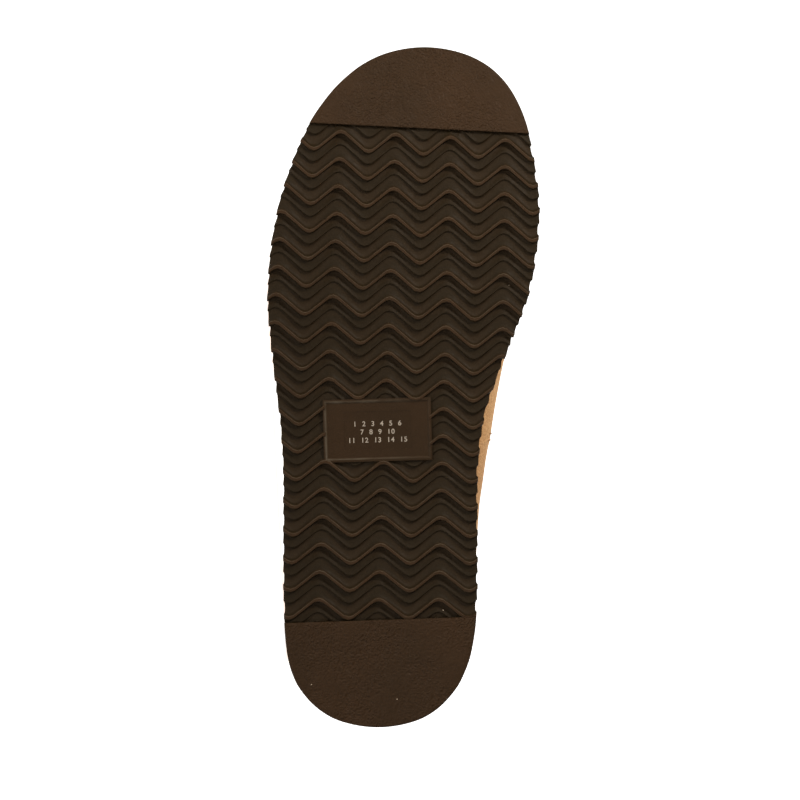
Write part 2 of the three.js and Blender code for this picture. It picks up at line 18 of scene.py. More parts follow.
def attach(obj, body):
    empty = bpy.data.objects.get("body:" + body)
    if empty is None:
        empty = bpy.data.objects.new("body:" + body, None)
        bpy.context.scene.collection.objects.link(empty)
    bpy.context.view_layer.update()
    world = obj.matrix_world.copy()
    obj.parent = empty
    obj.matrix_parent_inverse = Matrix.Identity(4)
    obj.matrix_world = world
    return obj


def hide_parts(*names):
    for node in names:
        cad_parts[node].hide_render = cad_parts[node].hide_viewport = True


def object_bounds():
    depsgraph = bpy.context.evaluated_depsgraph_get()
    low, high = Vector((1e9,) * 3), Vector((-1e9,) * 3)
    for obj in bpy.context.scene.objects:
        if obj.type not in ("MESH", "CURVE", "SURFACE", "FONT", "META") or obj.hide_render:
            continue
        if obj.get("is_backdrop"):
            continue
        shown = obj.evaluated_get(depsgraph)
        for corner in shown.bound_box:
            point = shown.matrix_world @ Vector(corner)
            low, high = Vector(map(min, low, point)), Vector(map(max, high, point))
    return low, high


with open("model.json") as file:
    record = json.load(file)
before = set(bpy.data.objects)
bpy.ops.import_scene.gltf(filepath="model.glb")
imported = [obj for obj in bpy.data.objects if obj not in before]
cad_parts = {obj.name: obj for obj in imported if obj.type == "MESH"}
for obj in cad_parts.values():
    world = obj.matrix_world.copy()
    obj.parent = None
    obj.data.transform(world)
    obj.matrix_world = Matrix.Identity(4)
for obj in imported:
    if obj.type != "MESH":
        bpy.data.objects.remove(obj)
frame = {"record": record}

LOG = logging.getLogger("slipper")
MM = 0.001
MERGE = 1e-6
BODY = "root"
BLOCK_TOP = 40.0  # height, in mm, of tread blocks, well above the sole that they trim
CLOSED = 1.999  # level from which the last counts as closed
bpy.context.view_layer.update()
Array = np.ndarray


def clamp01(value: Array) -> Array:
    """Value kept from 0 to 1."""
    return np.clip(value, 0.0, 1.0)


def smooth(value: Array) -> Array:
    """Soft step from 0 to 1 as value goes from 0 to 1."""
    t = clamp01(value)
    return t * t * (3.0 - 2.0 * t)


def mix(a: Array, b: Array, share: Array) -> Array:
    """Value between a, at share 0, and b, at share 1."""
    return a + (b - a) * share


def bump_at(value: Array, middle: float, reach: float) -> Array:
    """Soft hill, 1 at the middle and 0 past its reach."""
    return smooth(1.0 - np.abs(value - middle) / reach)


class Table:
    """A short table of the last's sections, read smoothly and without overshoot between its rows."""

    def __init__(self, names: str, rows: Sequence[tuple[float, ...]]) -> None:
        """Keeps each column as an array under its name.

        Args:
            names: the columns' names, the first of them the place that rows are read at.
            rows: one tuple of numbers for each section.
        """
        self.columns = dict(zip(names.split(), np.array(rows, float).T))
        self.places = self.columns[names.split()[0]]

    def read(self, name: str, at: Array, power: float = 1.0) -> Array:
        """Reads one column.

        Args:
            name: the column.
            at: places to read it at.
            power: the power of the column that is read.

        Returns:
            The column's values, raised to that power, at the places.
        """
        x, v = self.places, self.columns[name] ** power
        steps = np.diff(v) / np.diff(x)
        before, after = steps[:-1], steps[1:]
        total = before + after
        product = before * after
        inner = np.where(product > 0, 2 * product / np.where(product > 0, total, 1.0), 0.0)
        tangents = np.concatenate([steps[:1], inner, steps[-1:]])
        place = np.clip(np.asarray(at, float), x[0], x[-1])
        k = np.clip(np.searchsorted(x, place, side="right") - 1, 0, len(x) - 2)
        run = x[k + 1] - x[k]
        t = (place - x[k]) / run
        rise = (2 * t**3 - 3 * t**2 + 1) * v[k] + (3 * t**2 - 2 * t**3) * v[k + 1]
        bend = (t**3 - 2 * t**2 + t) * tangents[k] + (t**3 - t**2) * tangents[k + 1]
        return rise + run * bend


class ShoeFrame:
    """Shoe axes in the row frame, worked out from the two flat places under heel and ball.

    Along runs from the back of the heel to the toe, across is positive on the inner side of the foot,
    and up leaves the tread. Lengths in shoe axes are in millimetres.
    """

    HEEL = Vector((24.0, 0.0, 0.0))
    BALL = Vector((205.2, 4.2, 0.0))

    def __init__(self, record: dict[str, Any]) -> None:
        """Reads the mounts and builds the matrix from shoe millimetres to row metres.

        Args:
            record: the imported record, whose mounts lie on the tread.
        """
        mounts = {m["name"]: m for m in record["mounts"]}
        heel = Vector(mounts["heel_pad"]["pos_m"])
        ball = Vector(mounts["ball_lug"]["pos_m"])
        up = -Vector(mounts["heel_pad"]["axis"]).normalized()
        chord = (ball - heel).normalized()
        turn = math.atan2(self.BALL.y - self.HEEL.y, self.BALL.x - self.HEEL.x)
        side = up.cross(chord).normalized()
        along = (side.cross(up) * math.cos(turn) - side * math.sin(turn)).normalized()
        across = up.cross(along)
        basis = Matrix((along, across, up)).transposed() * MM
        origin = heel - basis @ self.HEEL
        self.matrix = Matrix.Translation(origin) @ basis.to_4x4()
        self.axes = np.array(basis)
        self.origin = np.array(origin)
        self.along, self.across, self.up = along, across, up

    def place(self, points: Array) -> Array:
        """Row metres of points given in shoe millimetres, one row each."""
        return points @ self.axes.T + self.origin

    def back(self, places: Array) -> Array:
        """Shoe millimetres of places given in row metres, one row each."""
        return (places - self.origin) @ np.linalg.inv(self.axes).T


@dataclass(frozen=True)
class Last:
    """The slipper's last and sole outline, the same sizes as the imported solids. Lengths in mm."""

    length: float = 300.0
    ball_width: float = 118.0
    heel_thickness: float = 23.0
    ball_thickness: float = 16.0
    toe_spring: float = 9.0
    arch_rise: float = 1.8
    upper_wall: float = 2.5
    feather_inset: float = 5.2
    seat_gap: float = 0.3
    instep_height: float = 80.0
    heel_height: float = 52.0
    bulge_height_heel: float = 19.0
    bulge_height_toe: float = 13.0
    heel_lean: float = 42.0
    toe_lean: float = 38.0
    vamp_lap: float = 0.9
    vamp_lap_run: float = 1.2
    throat_at: float = 0.53
    seam_at: float = 0.78 * 0.53
    back_steps: int = 15
    front_steps: int = 16
    probe: float = 0.02
    outline: Table = Table("at half bend", [
        (0, 0, -0.01), (0.015, 0.35, -0.01), (0.04, 0.515, -0.01), (0.07, 0.622, -0.009),
        (0.11, 0.688, -0.005), (0.16, 0.717, -0.001), (0.22, 0.727, 0), (0.36, 0.728, 0),
        (0.44, 0.756, 0.004), (0.5, 0.817, 0.016), (0.57, 0.907, 0.041), (0.64, 0.981, 0.068),
        (0.7, 0.998, 0.087), (0.76, 0.98, 0.105), (0.82, 0.919, 0.12), (0.88, 0.825, 0.137),
        (0.93, 0.688, 0.153), (0.965, 0.525, 0.162), (0.985, 0.362, 0.164), (1, 0, 0.164),
    ])
    bulge: Table = Table("at outer inner", [
        (0, -0.018, -0.018), (0.2, -0.02, -0.008), (0.31, -0.016, 0.01), (0.38, -0.01, 0.034),
        (0.44, -0.006, 0.042), (0.5, -0.003, 0.026), (0.57, -0.002, -0.002), (0.66, -0.007, -0.014),
        (0.85, -0.02, -0.02), (1, -0.024, -0.024),
    ])
    ridge: Table = Table("at top round shift", [
        (0, 0.92, 1.75, 0), (0.15, 0.93, 1.75, 0), (0.3, 1.02, 1.8, 0.012), (0.43, 1.1, 1.9, 0.03),
        (0.53, 1.0, 2.05, 0.045), (0.62, 0.89, 2.15, 0.055), (0.72, 0.765, 2.25, 0.06),
        (0.8, 0.665, 2.35, 0.05), (0.88, 0.56, 2.4, 0.03), (1, 0.46, 2.4, 0),
    ])
    collar: Table = Table("at climb", [
        (0, 0.04), (0.11, 0), (0.3, -0.13), (0.51, -0.13), (0.68, 0.09), (0.81, 0.46),
        (0.925, 0.82), (1, 1),
    ])

    @property
    def half_steps(self) -> int:
        """Stations from the heel to the toe along one side."""
        return self.back_steps + self.front_steps

    @property
    def loop_steps(self) -> int:
        """Stations all the way round."""
        return 2 * self.half_steps

    def tread(self, along: Array) -> Array:
        """Height of the tread's plane: flat, with an arch in the waist and a toe spring.

        Args:
            along: places along the shoe.

        Returns:
            The heights there.
        """
        at = along / self.length
        spring = self.toe_spring * clamp01((at - 0.72) / 0.28) ** 2
        return spring + self.arch_rise * smooth((at - 0.22) / 0.14) * smooth((0.64 - at) / 0.12)

    def sole_top(self, along: Array) -> Array:
        """Height of the sole's top, thick under the heel and thin under the ball.

        Args:
            along: places along the shoe.

        Returns:
            The heights there.
        """
        at = along / self.length
        spring = self.toe_spring * clamp01((at - 0.72) / 0.28) ** 2
        return spring + mix(self.heel_thickness, self.ball_thickness, smooth((at - 0.2) / 0.5))

    def folded(self, station: Array) -> tuple[Array, Array]:
        """Station counted from the heel on its own side, and that side, -1 outer and 1 inner.

        Args:
            station: stations round the shoe.

        Returns:
            The counts and the sides.
        """
        turned = np.mod(station, self.loop_steps)
        outer = turned <= self.half_steps
        return np.where(outer, turned, self.loop_steps - turned), np.where(outer, -1.0, 1.0)

    def share(self, station: Array) -> Array:
        """Share of the length that a station stands at.

        Args:
            station: stations round the shoe.

        Returns:
            The shares.
        """
        k, _ = self.folded(np.asarray(station, float))
        rear = self.throat_at * (1 - np.cos(np.pi * np.minimum(k, self.back_steps) / self.back_steps)) / 2
        turn = np.pi * (np.maximum(k, self.back_steps) - self.back_steps) / (2 * self.front_steps)
        return np.where(k <= self.back_steps, rear, mix(self.throat_at, 1.0, np.sin(turn)))

    def station_of(self, share: Array, inner: bool) -> Array:
        """Station that stands at a share of the length, behind the throat.

        Args:
            share: shares of the length.
            inner: whether they are on the inner side.

        Returns:
            The stations.
        """
        angle = np.arccos(1 - 2 * np.asarray(share, float) / self.throat_at)
        station = angle * self.back_steps / np.pi
        return self.loop_steps - station if inner else station

    def outline_at(self, station: Array) -> Array:
        """Points of the sole's outline, along and across.

        Args:
            station: stations round the shoe.

        Returns:
            The points.
        """
        at = self.share(station)
        _, side = self.folded(np.asarray(station, float))
        half = np.sqrt(np.maximum(self.outline.read("half", at, 2), 0)) * self.ball_width / 2
        bend = self.outline.read("bend", at) * self.ball_width
        return np.stack([at * self.length, bend + side * half], -1)

    def offset(self, station: Array, outwards: Array) -> Array:
        """Points of the outline moved outwards, square to it.

        Args:
            station: stations round the shoe.
            outwards: how far they move.

        Returns:
            The points, along and across.
        """
        tangent = self.outline_at(station + self.probe) - self.outline_at(station - self.probe)
        tangent /= np.linalg.norm(tangent, axis=-1, keepdims=True)
        normal = np.stack([tangent[..., 1], -tangent[..., 0]], -1)
        return self.outline_at(station) + normal * np.asarray(outwards, float)[..., None]

    def spine(self, at: Array) -> Array:
        """Place along the shoe that an upper's section leans towards, pulled in from heel and toe.

        Args:
            at: shares of the length.

        Returns:
            The places.
        """
        def pulled(gap: Array, lean: float) -> Array:
            """Place of a section that stands gap away from the end.

            Args:
                gap: the distance from the end.
                lean: place of the section at the end itself.

            Returns:
                The pulled place.
            """
            reach = 3 * lean
            return np.where(gap < reach, lean + gap**1.5 / (1.5 * math.sqrt(reach)), gap)

        heel, toe = at * self.length, (1 - at) * self.length
        return np.where(heel < toe, pulled(heel, self.heel_lean), self.length - pulled(toe, self.toe_lean))

    def upper_at(self, station: Array, level: Array) -> Array:
        """Outer face of the upper.

        Args:
            station: stations round the shoe.
            level: from the feather, 0, over the fullest line, 1, to the ridge, 2.

        Returns:
            Points in shoe millimetres, in the last axis.
        """
        station, level = np.broadcast_arrays(np.asarray(station, float), np.asarray(level, float))
        at = self.share(station)
        _, side = self.folded(station)
        bulge = np.where(side < 0, self.bulge.read("outer", at), self.bulge.read("inner", at))
        bulge = bulge * self.ball_width
        rise = mix(self.bulge_height_heel, self.bulge_height_toe, smooth((at - 0.3) / 0.6))
        low = np.minimum(level, 1.0)
        swell = np.sin(low * np.pi / 2)
        plan = self.offset(station, mix(-self.feather_inset, bulge, swell))
        foot = self.sole_top(plan[..., 0]) + self.seat_gap + rise * low
        spine = self.spine(at)
        ridge_at = spine / self.length
        shift = self.outline.read("bend", ridge_at) + self.ridge.read("shift", ridge_at)
        top = self.sole_top(spine) + self.seat_gap
        top = top + self.ridge.read("top", ridge_at) * self.instep_height
        angle = np.clip(level - 1, 0, 1) * np.pi / 2
        inwards = np.maximum(np.cos(angle), 0) ** (2 / self.ridge.read("round", ridge_at))
        upwards = np.sin(angle) ** 0.98
        return np.stack([
            mix(spine, plan[..., 0], inwards),
            mix(shift * self.ball_width, plan[..., 1], inwards),
            mix(foot, top, upwards),
        ], -1)

    def collar_level(self, station: Array) -> Array:
        """Level of the collar's edge, 2 where the last is closed.

        Args:
            station: stations round the shoe.

        Returns:
            The levels.
        """
        station = np.asarray(station, float)
        at = self.share(station)
        throat = float(self.ridge.read("top", np.array(self.throat_at))) * self.instep_height
        climb = self.collar.read("climb", at / self.throat_at)
        height = self.sole_top(at * self.length) + self.seat_gap + mix(self.heel_height, throat, climb)
        low, high = np.ones_like(at), np.full_like(at, 2.0)
        for _ in range(30):
            middle = (low + high) / 2
            under = self.upper_at(station, middle)[..., 2] < height
            low, high = np.where(under, middle, low), np.where(under, high, middle)
        return np.where(at >= self.throat_at - 1e-9, 2.0, low)

    def normal_at(self, station: Array, level: Array) -> Array:
        """Outward normals of the upper's outer face.

        Args:
            station: stations round the shoe.
            level: levels on the upper, as in upper_at.

        Returns:
            The normals, in shoe axes.
        """
        station, level = np.broadcast_arrays(np.asarray(station, float), np.asarray(level, float))
        over = self.upper_at(station, np.minimum(level + self.probe, 2.0))
        upwards = over - self.upper_at(station, np.maximum(level - self.probe, 0.0))
        flat = np.minimum(level, 1.9)
        onwards = self.upper_at(station + self.probe, flat) - self.upper_at(station - self.probe, flat)
        normal = np.cross(onwards, upwards)
        return normal / np.linalg.norm(normal, axis=-1, keepdims=True)

    def lap(self, station: Array) -> Array:
        """How far the vamp stands over the quarters, nothing behind the side seam."""
        past_seam = (self.share(station) - self.seam_at) * self.length
        return self.vamp_lap * clamp01(past_seam / self.vamp_lap_run)


LAST = Last()
SHOE = ShoeFrame(frame["record"])


def linear(code: str) -> tuple[float, float, float, float]:
    """Linear colour, with full alpha, of an sRGB hex value such as "c8935f"."""
    parts = [int(code[k:k + 2], 16) / 255 for k in (0, 2, 4)]
    return (*[p / 12.92 if p <= 0.04045 else ((p + 0.055) / 1.055) ** 2.4 for p in parts], 1.0)


def add_node(tree: bpy.types.NodeTree, kind: str, inputs: Optional[dict[Any, Any]] = None,
             **settings: Any) -> bpy.types.Node:
    """Adds a node with its settings and links.

    Args:
        tree: the tree that gets the node.
        kind: the node's type.
        inputs: for each input, by name or place, the socket that it is linked to or its value.
        settings: the node's own properties.

    Returns:
        The node.
    """
    made = tree.nodes.new(kind)
    for name, value in settings.items():
        setattr(made, name, value)
    for name, value in (inputs or {}).items():
        if isinstance(value, bpy.types.NodeSocket):
            tree.links.new(value, made.inputs[name])
        else:
            made.inputs[name].default_value = value
    return made


def new_object(name: str, mesh: bpy.types.Mesh) -> bpy.types.Object:
    """An object in the scene that holds the mesh.

    Args:
        name: the object's name.
        mesh: its mesh.

    Returns:
        The object.
    """
    made = bpy.data.objects.new(name, mesh)
    bpy.context.scene.collection.objects.link(made)
    return made


def mesh_object(name: str, points: Array, faces: Sequence[Sequence[int]],
                closed: bool = True) -> bpy.types.Object:
    """Makes an object from points in shoe millimetres.

    Args:
        name: the object's name.
        points: one row for each point.
        faces: the points' places in each face.
        closed: whether the normals are turned outwards.

    Returns:
        The object, with doubles merged.
    """
    mesh = bpy.data.meshes.new(name)
    mesh.from_pydata(SHOE.place(points).tolist(), [], [tuple(f) for f in faces])
    work = bmesh.new()
    work.from_mesh(mesh)
    bmesh.ops.remove_doubles(work, verts=work.verts, dist=MERGE)
    bmesh.ops.dissolve_degenerate(work, edges=work.edges, dist=MERGE / 2)
    if closed:
        bmesh.ops.recalc_face_normals(work, faces=work.faces)
    work.to_mesh(mesh)
    work.free()
    return new_object(name, mesh)


def grid_faces(rows: int, count: int, round_rows: bool = False, round_count: bool = False,
               start: int = 0) -> list[tuple[int, int, int, int]]:
    """Quads of a grid of points.

    Args:
        rows: rows of points.
        count: points in each row.
        round_rows: whether the last row joins the first.
        round_count: whether each row's last point joins its first.
        start: place of the grid's first point.

    Returns:
        Four point places for each quad.
    """
    faces = []
    for r in range(rows if round_rows else rows - 1):
        low, high = start + r * count, start + (r + 1) % rows * count
        for i in range(count if round_count else count - 1):
            n = (i + 1) % count
            faces.append((low + i, high + i, high + n, low + n))
    return faces


def cap_faces(start: int, count: int) -> list[tuple[int, ...]]:
    """Quads across a ring, pairing its first half with its second.

    Args:
        start: place of the ring's first point.
        count: points in the ring.

    Returns:
        Point places for each face.
    """
    faces = []
    for i in range(count // 2):
        quad = (start + i, start + i + 1, start + (count - i - 1) % count, start + (count - i) % count)
        faces.append(tuple(dict.fromkeys(quad)))
    return [f for f in faces if len(f) > 2]


def height_block(name: str, plan: Array, low: Array, high: Array) -> bpy.types.Object:
    """Makes a solid between two height fields over one grid of places.

    Args:
        name: the object's name.
        plan: the grid's places, along and across, in two dimensions.
        low: heights of the lower face.
        high: heights of the upper face.

    Returns:
        The solid.
    """
    rows, count = plan.shape[:2]
    sheets = [np.concatenate([plan, z[..., None]], -1).reshape(-1, 3) for z in (low, high)]
    shift = rows * count
    faces = [f[::-1] for f in grid_faces(rows, count)] + grid_faces(rows, count, start=shift)
    rim = [r * count for r in range(rows)] + [(rows - 1) * count + i for i in range(1, count)]
    rim += [r * count + count - 1 for r in range(rows - 2, -1, -1)] + list(range(count - 2, 0, -1))
    for a, b in zip(rim, rim[1:] + rim[:1]):
        faces.append((a, b, b + shift, a + shift))
    return mesh_object(name, np.concatenate(sheets), faces)


class Carving(Enum):
    """What a second solid does to the first."""

    JOIN = "UNION"
    CUT = "DIFFERENCE"
    TRIM = "INTERSECT"


def carve(target: bpy.types.Object, tool: bpy.types.Object, carving: Carving) -> bpy.types.Object:
    """Joins, cuts or trims the target with the tool, and removes the tool.

    Args:
        target: the solid that is changed.
        tool: the other solid.
        carving: what is done.

    Returns:
        The target, with the result as its mesh.
    """
    modifier = target.modifiers.new("carve", "BOOLEAN")
    modifier.operation, modifier.solver, modifier.object = carving.value, "MANIFOLD", tool
    bake_modifiers(target)
    bpy.data.objects.remove(tool)
    return target


def bake_modifiers(target: bpy.types.Object) -> bpy.types.Object:
    """Turns the object's modifiers into its plain mesh.

    Args:
        target: the object.

    Returns:
        The same object.
    """
    ready = target.evaluated_get(bpy.context.evaluated_depsgraph_get())
    mesh = bpy.data.meshes.new_from_object(ready)
    target.modifiers.clear()
    old, target.data = target.data, mesh
    mesh.name = target.name
    bpy.data.meshes.remove(old)
    return target


def shade(target: bpy.types.Object, degrees: float) -> bpy.types.Object:
    """Shades smooth, with edges sharper than the angle kept sharp.

    Args:
        target: the object.
        degrees: the angle.

    Returns:
        The same object.
    """
    target.data.shade_smooth()
    target.data.set_sharp_from_angle(angle=math.radians(degrees))
    return target


def store(target: bpy.types.Object, name: str, values: Array) -> None:
    """Keeps one number for each point of the mesh under a name that materials read."""
    attribute = target.data.attributes.new(name, "FLOAT", "POINT")
    attribute.data.foreach_set("value", np.asarray(values, np.float32))


def shoe_points(target: bpy.types.Object) -> Array:
    """The mesh's points in shoe millimetres, one row each.

    Args:
        target: the object with the mesh.

    Returns:
        The points.
    """
    places = np.empty(len(target.data.vertices) * 3)
    target.data.vertices.foreach_get("co", places)
    return SHOE.back(places.reshape(-1, 3))


def dress(target: bpy.types.Object, material: bpy.types.Material, slot: str,
          replaced: Optional[str] = None) -> bpy.types.Object:
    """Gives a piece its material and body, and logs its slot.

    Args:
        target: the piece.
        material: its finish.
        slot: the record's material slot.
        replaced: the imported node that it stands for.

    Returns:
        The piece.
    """
    target.data.materials.clear()
    target.data.materials.append(material)
    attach(target, BODY)
    if replaced:
        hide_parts(replaced)
    triangles = sum(len(p.vertices) - 2 for p in target.data.polygons)
    LOG.info("%s: %d triangles, slot %s", target.name, triangles, slot)
    return target


class Canvas:
    """A material in the making, whose patterns read shoe millimetres from Object coordinates."""

    def __init__(self, name: str) -> None:
        """Makes the material with its shader, and the socket with shoe millimetres.

        Args:
            name: the material's name.
        """
        self.material = bpy.data.materials.new(name)
        self.material.use_nodes = True
        self.tree = self.material.node_tree
        self.tree.nodes.clear()
        back = SHOE.matrix.inverted()
        self.shoe = self.node("ShaderNodeMapping", {
            "Vector": self.node("ShaderNodeTexCoord").outputs["Object"],
            "Location": back.translation, "Rotation": (back.to_3x3() * MM).to_euler("XYZ"),
            "Scale": (1 / MM,) * 3,
        }).outputs[0]
        self.shader = self.node("ShaderNodeBsdfPrincipled")
        self.node("ShaderNodeOutputMaterial", {"Surface": self.shader.outputs[0]})

    def node(self, kind: str, inputs: Optional[dict[Any, Any]] = None, **settings: Any) -> bpy.types.Node:
        """A node in this material."""
        return add_node(self.tree, kind, inputs, **settings)

    def set(self, **values: Any) -> None:
        """Sets or links the shader's inputs, named with underscores for spaces."""
        for name, value in values.items():
            socket = self.shader.inputs[name.replace("_", " ")]
            if isinstance(value, bpy.types.NodeSocket):
                self.tree.links.new(value, socket)
            else:
                socket.default_value = value

    def attribute(self, name: str) -> bpy.types.NodeSocket:
        """One number that the mesh keeps for each point."""
        return self.node("ShaderNodeAttribute", attribute_name=name).outputs["Fac"]

    def noise(self, size: float, detail: float = 2.0) -> bpy.types.NodeSocket:
        """Noise, about 0 to 1, whose features are size millimetres across."""
        made = self.node("ShaderNodeTexNoise", {"Vector": self.shoe, "Scale": 1 / size, "Detail": detail})
        return made.outputs["Fac"]

    def cells(self, size: float, **settings: Any) -> bpy.types.Node:
        """Cells that are size millimetres apart."""
        return self.node("ShaderNodeTexVoronoi", {"Vector": self.shoe, "Scale": 1 / size}, **settings)

    def spread(self, value: bpy.types.NodeSocket, low: float, high: float, to_low: float = 0.0,
               to_high: float = 1.0) -> bpy.types.NodeSocket:
        """Value between low and high, spread over another range and kept in it.

        Args:
            value: the socket with the value.
            low: start of its range.
            high: end of its range.
            to_low: result at low.
            to_high: result at high.

        Returns:
            The result's socket.
        """
        return self.node("ShaderNodeMapRange", {
            "Value": value, "From Min": low, "From Max": high, "To Min": to_low, "To Max": to_high,
        }, clamp=True).outputs[0]

    def blend(self, share: Any, a: Any, b: Any, mode: str = "MIX") -> bpy.types.NodeSocket:
        """Colour between a, at share 0, and b, at share 1."""
        made = self.node("ShaderNodeMix", {0: share, 6: a, 7: b}, data_type="RGBA", blend_type=mode)
        return made.outputs[2]

    def maths(self, operation: str, a: Any, b: Any = 0.0) -> bpy.types.NodeSocket:
        """Result of a sum on two numbers."""
        return self.node("ShaderNodeMath", {0: a, 1: b}, operation=operation).outputs[0]

    def bump(self, height: bpy.types.NodeSocket, distance: float, strength: float = 1.0) -> None:
        """Raises the surface by the height, times distance in millimetres.

        Args:
            height: the socket with the height.
            distance: how high 1 stands, in millimetres.
            strength: how much of it shows, 1 for all.
        """
        made = self.node("ShaderNodeBump", {
            "Height": height, "Strength": strength, "Distance": distance * MM})
        self.set(Normal=made.outputs[0])


@dataclass(frozen=True)
class RubberFinish:
    """Moulded brown rubber: dull, with leather-like pebble on the smooth pads, painted shade deep in the
    grooves, and pale rims on the tread that are painted highlights with some wear.
    """

    ground: str = "281b0d"
    warm: str = "2d1e0f"
    # Painted shade: the rubber's colours down the grooves' slopes and deeper in their hollows
    painted_slope_shade: str = "1a1205"
    painted_hollow_shade: str = "241a0d"
    # Painted highlight, with some wear: the colour of the pale rims of ridges and panel
    pale_rim_highlight_and_wear: str = "4c453a"
    dust: str = "cbb9a4"
    pebble: float = 0.85
    speck: float = 0.22
    speck_cell: float = 6.5

    def build(self) -> bpy.types.Material:
        """Builds the finish, which reads the mesh's depth, pad and pale-rim attributes: depth darkens the
        rubber as painted shade, and the pale rims are painted highlights with some wear.

        Returns:
            The material.
        """
        paint = Canvas("moulded_brown_rubber")
        cloud = paint.spread(paint.noise(42, 3), 0.35, 0.65)
        colour = paint.blend(cloud, linear(self.ground), linear(self.warm))
        # Painted shade: the deeper the rubber lies below the tread, the darker it is coloured
        depth = paint.attribute("depth")
        colour = paint.blend(paint.spread(depth, 0.1, 0.9), colour, linear(self.painted_slope_shade))
        colour = paint.blend(paint.spread(depth, 1.5, 2.5), colour, linear(self.painted_hollow_shade))
        # Painted highlights, with some wear, on the pale rims, in patches
        patchy_highlight_and_wear = paint.spread(paint.noise(7, 3), 0.35, 0.65, 0.3, 0.85)
        highlight_and_wear = paint.maths("MULTIPLY", paint.attribute("highlight_and_wear"), patchy_highlight_and_wear)
        colour = paint.blend(highlight_and_wear, colour, linear(self.pale_rim_highlight_and_wear))
        cell = paint.cells(self.speck_cell)
        lucky = paint.maths("GREATER_THAN", paint.node(
            "ShaderNodeSeparateColor", {0: cell.outputs["Color"]}).outputs[0], 0.9)
        near = paint.maths("LESS_THAN", cell.outputs["Distance"], self.speck / self.speck_cell)
        colour = paint.blend(paint.maths("MULTIPLY", lucky, near), colour, linear(self.dust))
        rough = paint.spread(paint.noise(3.0, 3), 0.3, 0.7, 0.52, 0.66)
        paint.set(Base_Color=colour, Roughness=rough, IOR=1.5, Specular_IOR_Level=0.1)
        patch = paint.spread(paint.noise(24, 2), 0.34, 0.6, 0.35, 1.0)
        strength = paint.maths("MULTIPLY", paint.attribute("pad"), patch)
        pebble = paint.cells(self.pebble, feature="SMOOTH_F1").outputs["Distance"]
        raised = paint.maths("MULTIPLY", pebble, paint.maths("MULTIPLY", strength, -1.0))
        total = paint.maths("ADD", raised, paint.maths("MULTIPLY", paint.noise(0.5), 0.2))
        paint.bump(total, 0.75, 1.0)
        return paint.material


@dataclass(frozen=True)
class InkFinish:
    """Pale grey ink, printed flat on the panel."""

    colour: str = "8d857a"

    def build(self) -> bpy.types.Material:
        """Builds the finish.

        Returns:
            The material.
        """
        paint = Canvas("pale_printed_ink")
        paint.set(Base_Color=linear(self.colour), Roughness=0.6, Specular_IOR_Level=0.2)
        return paint.material


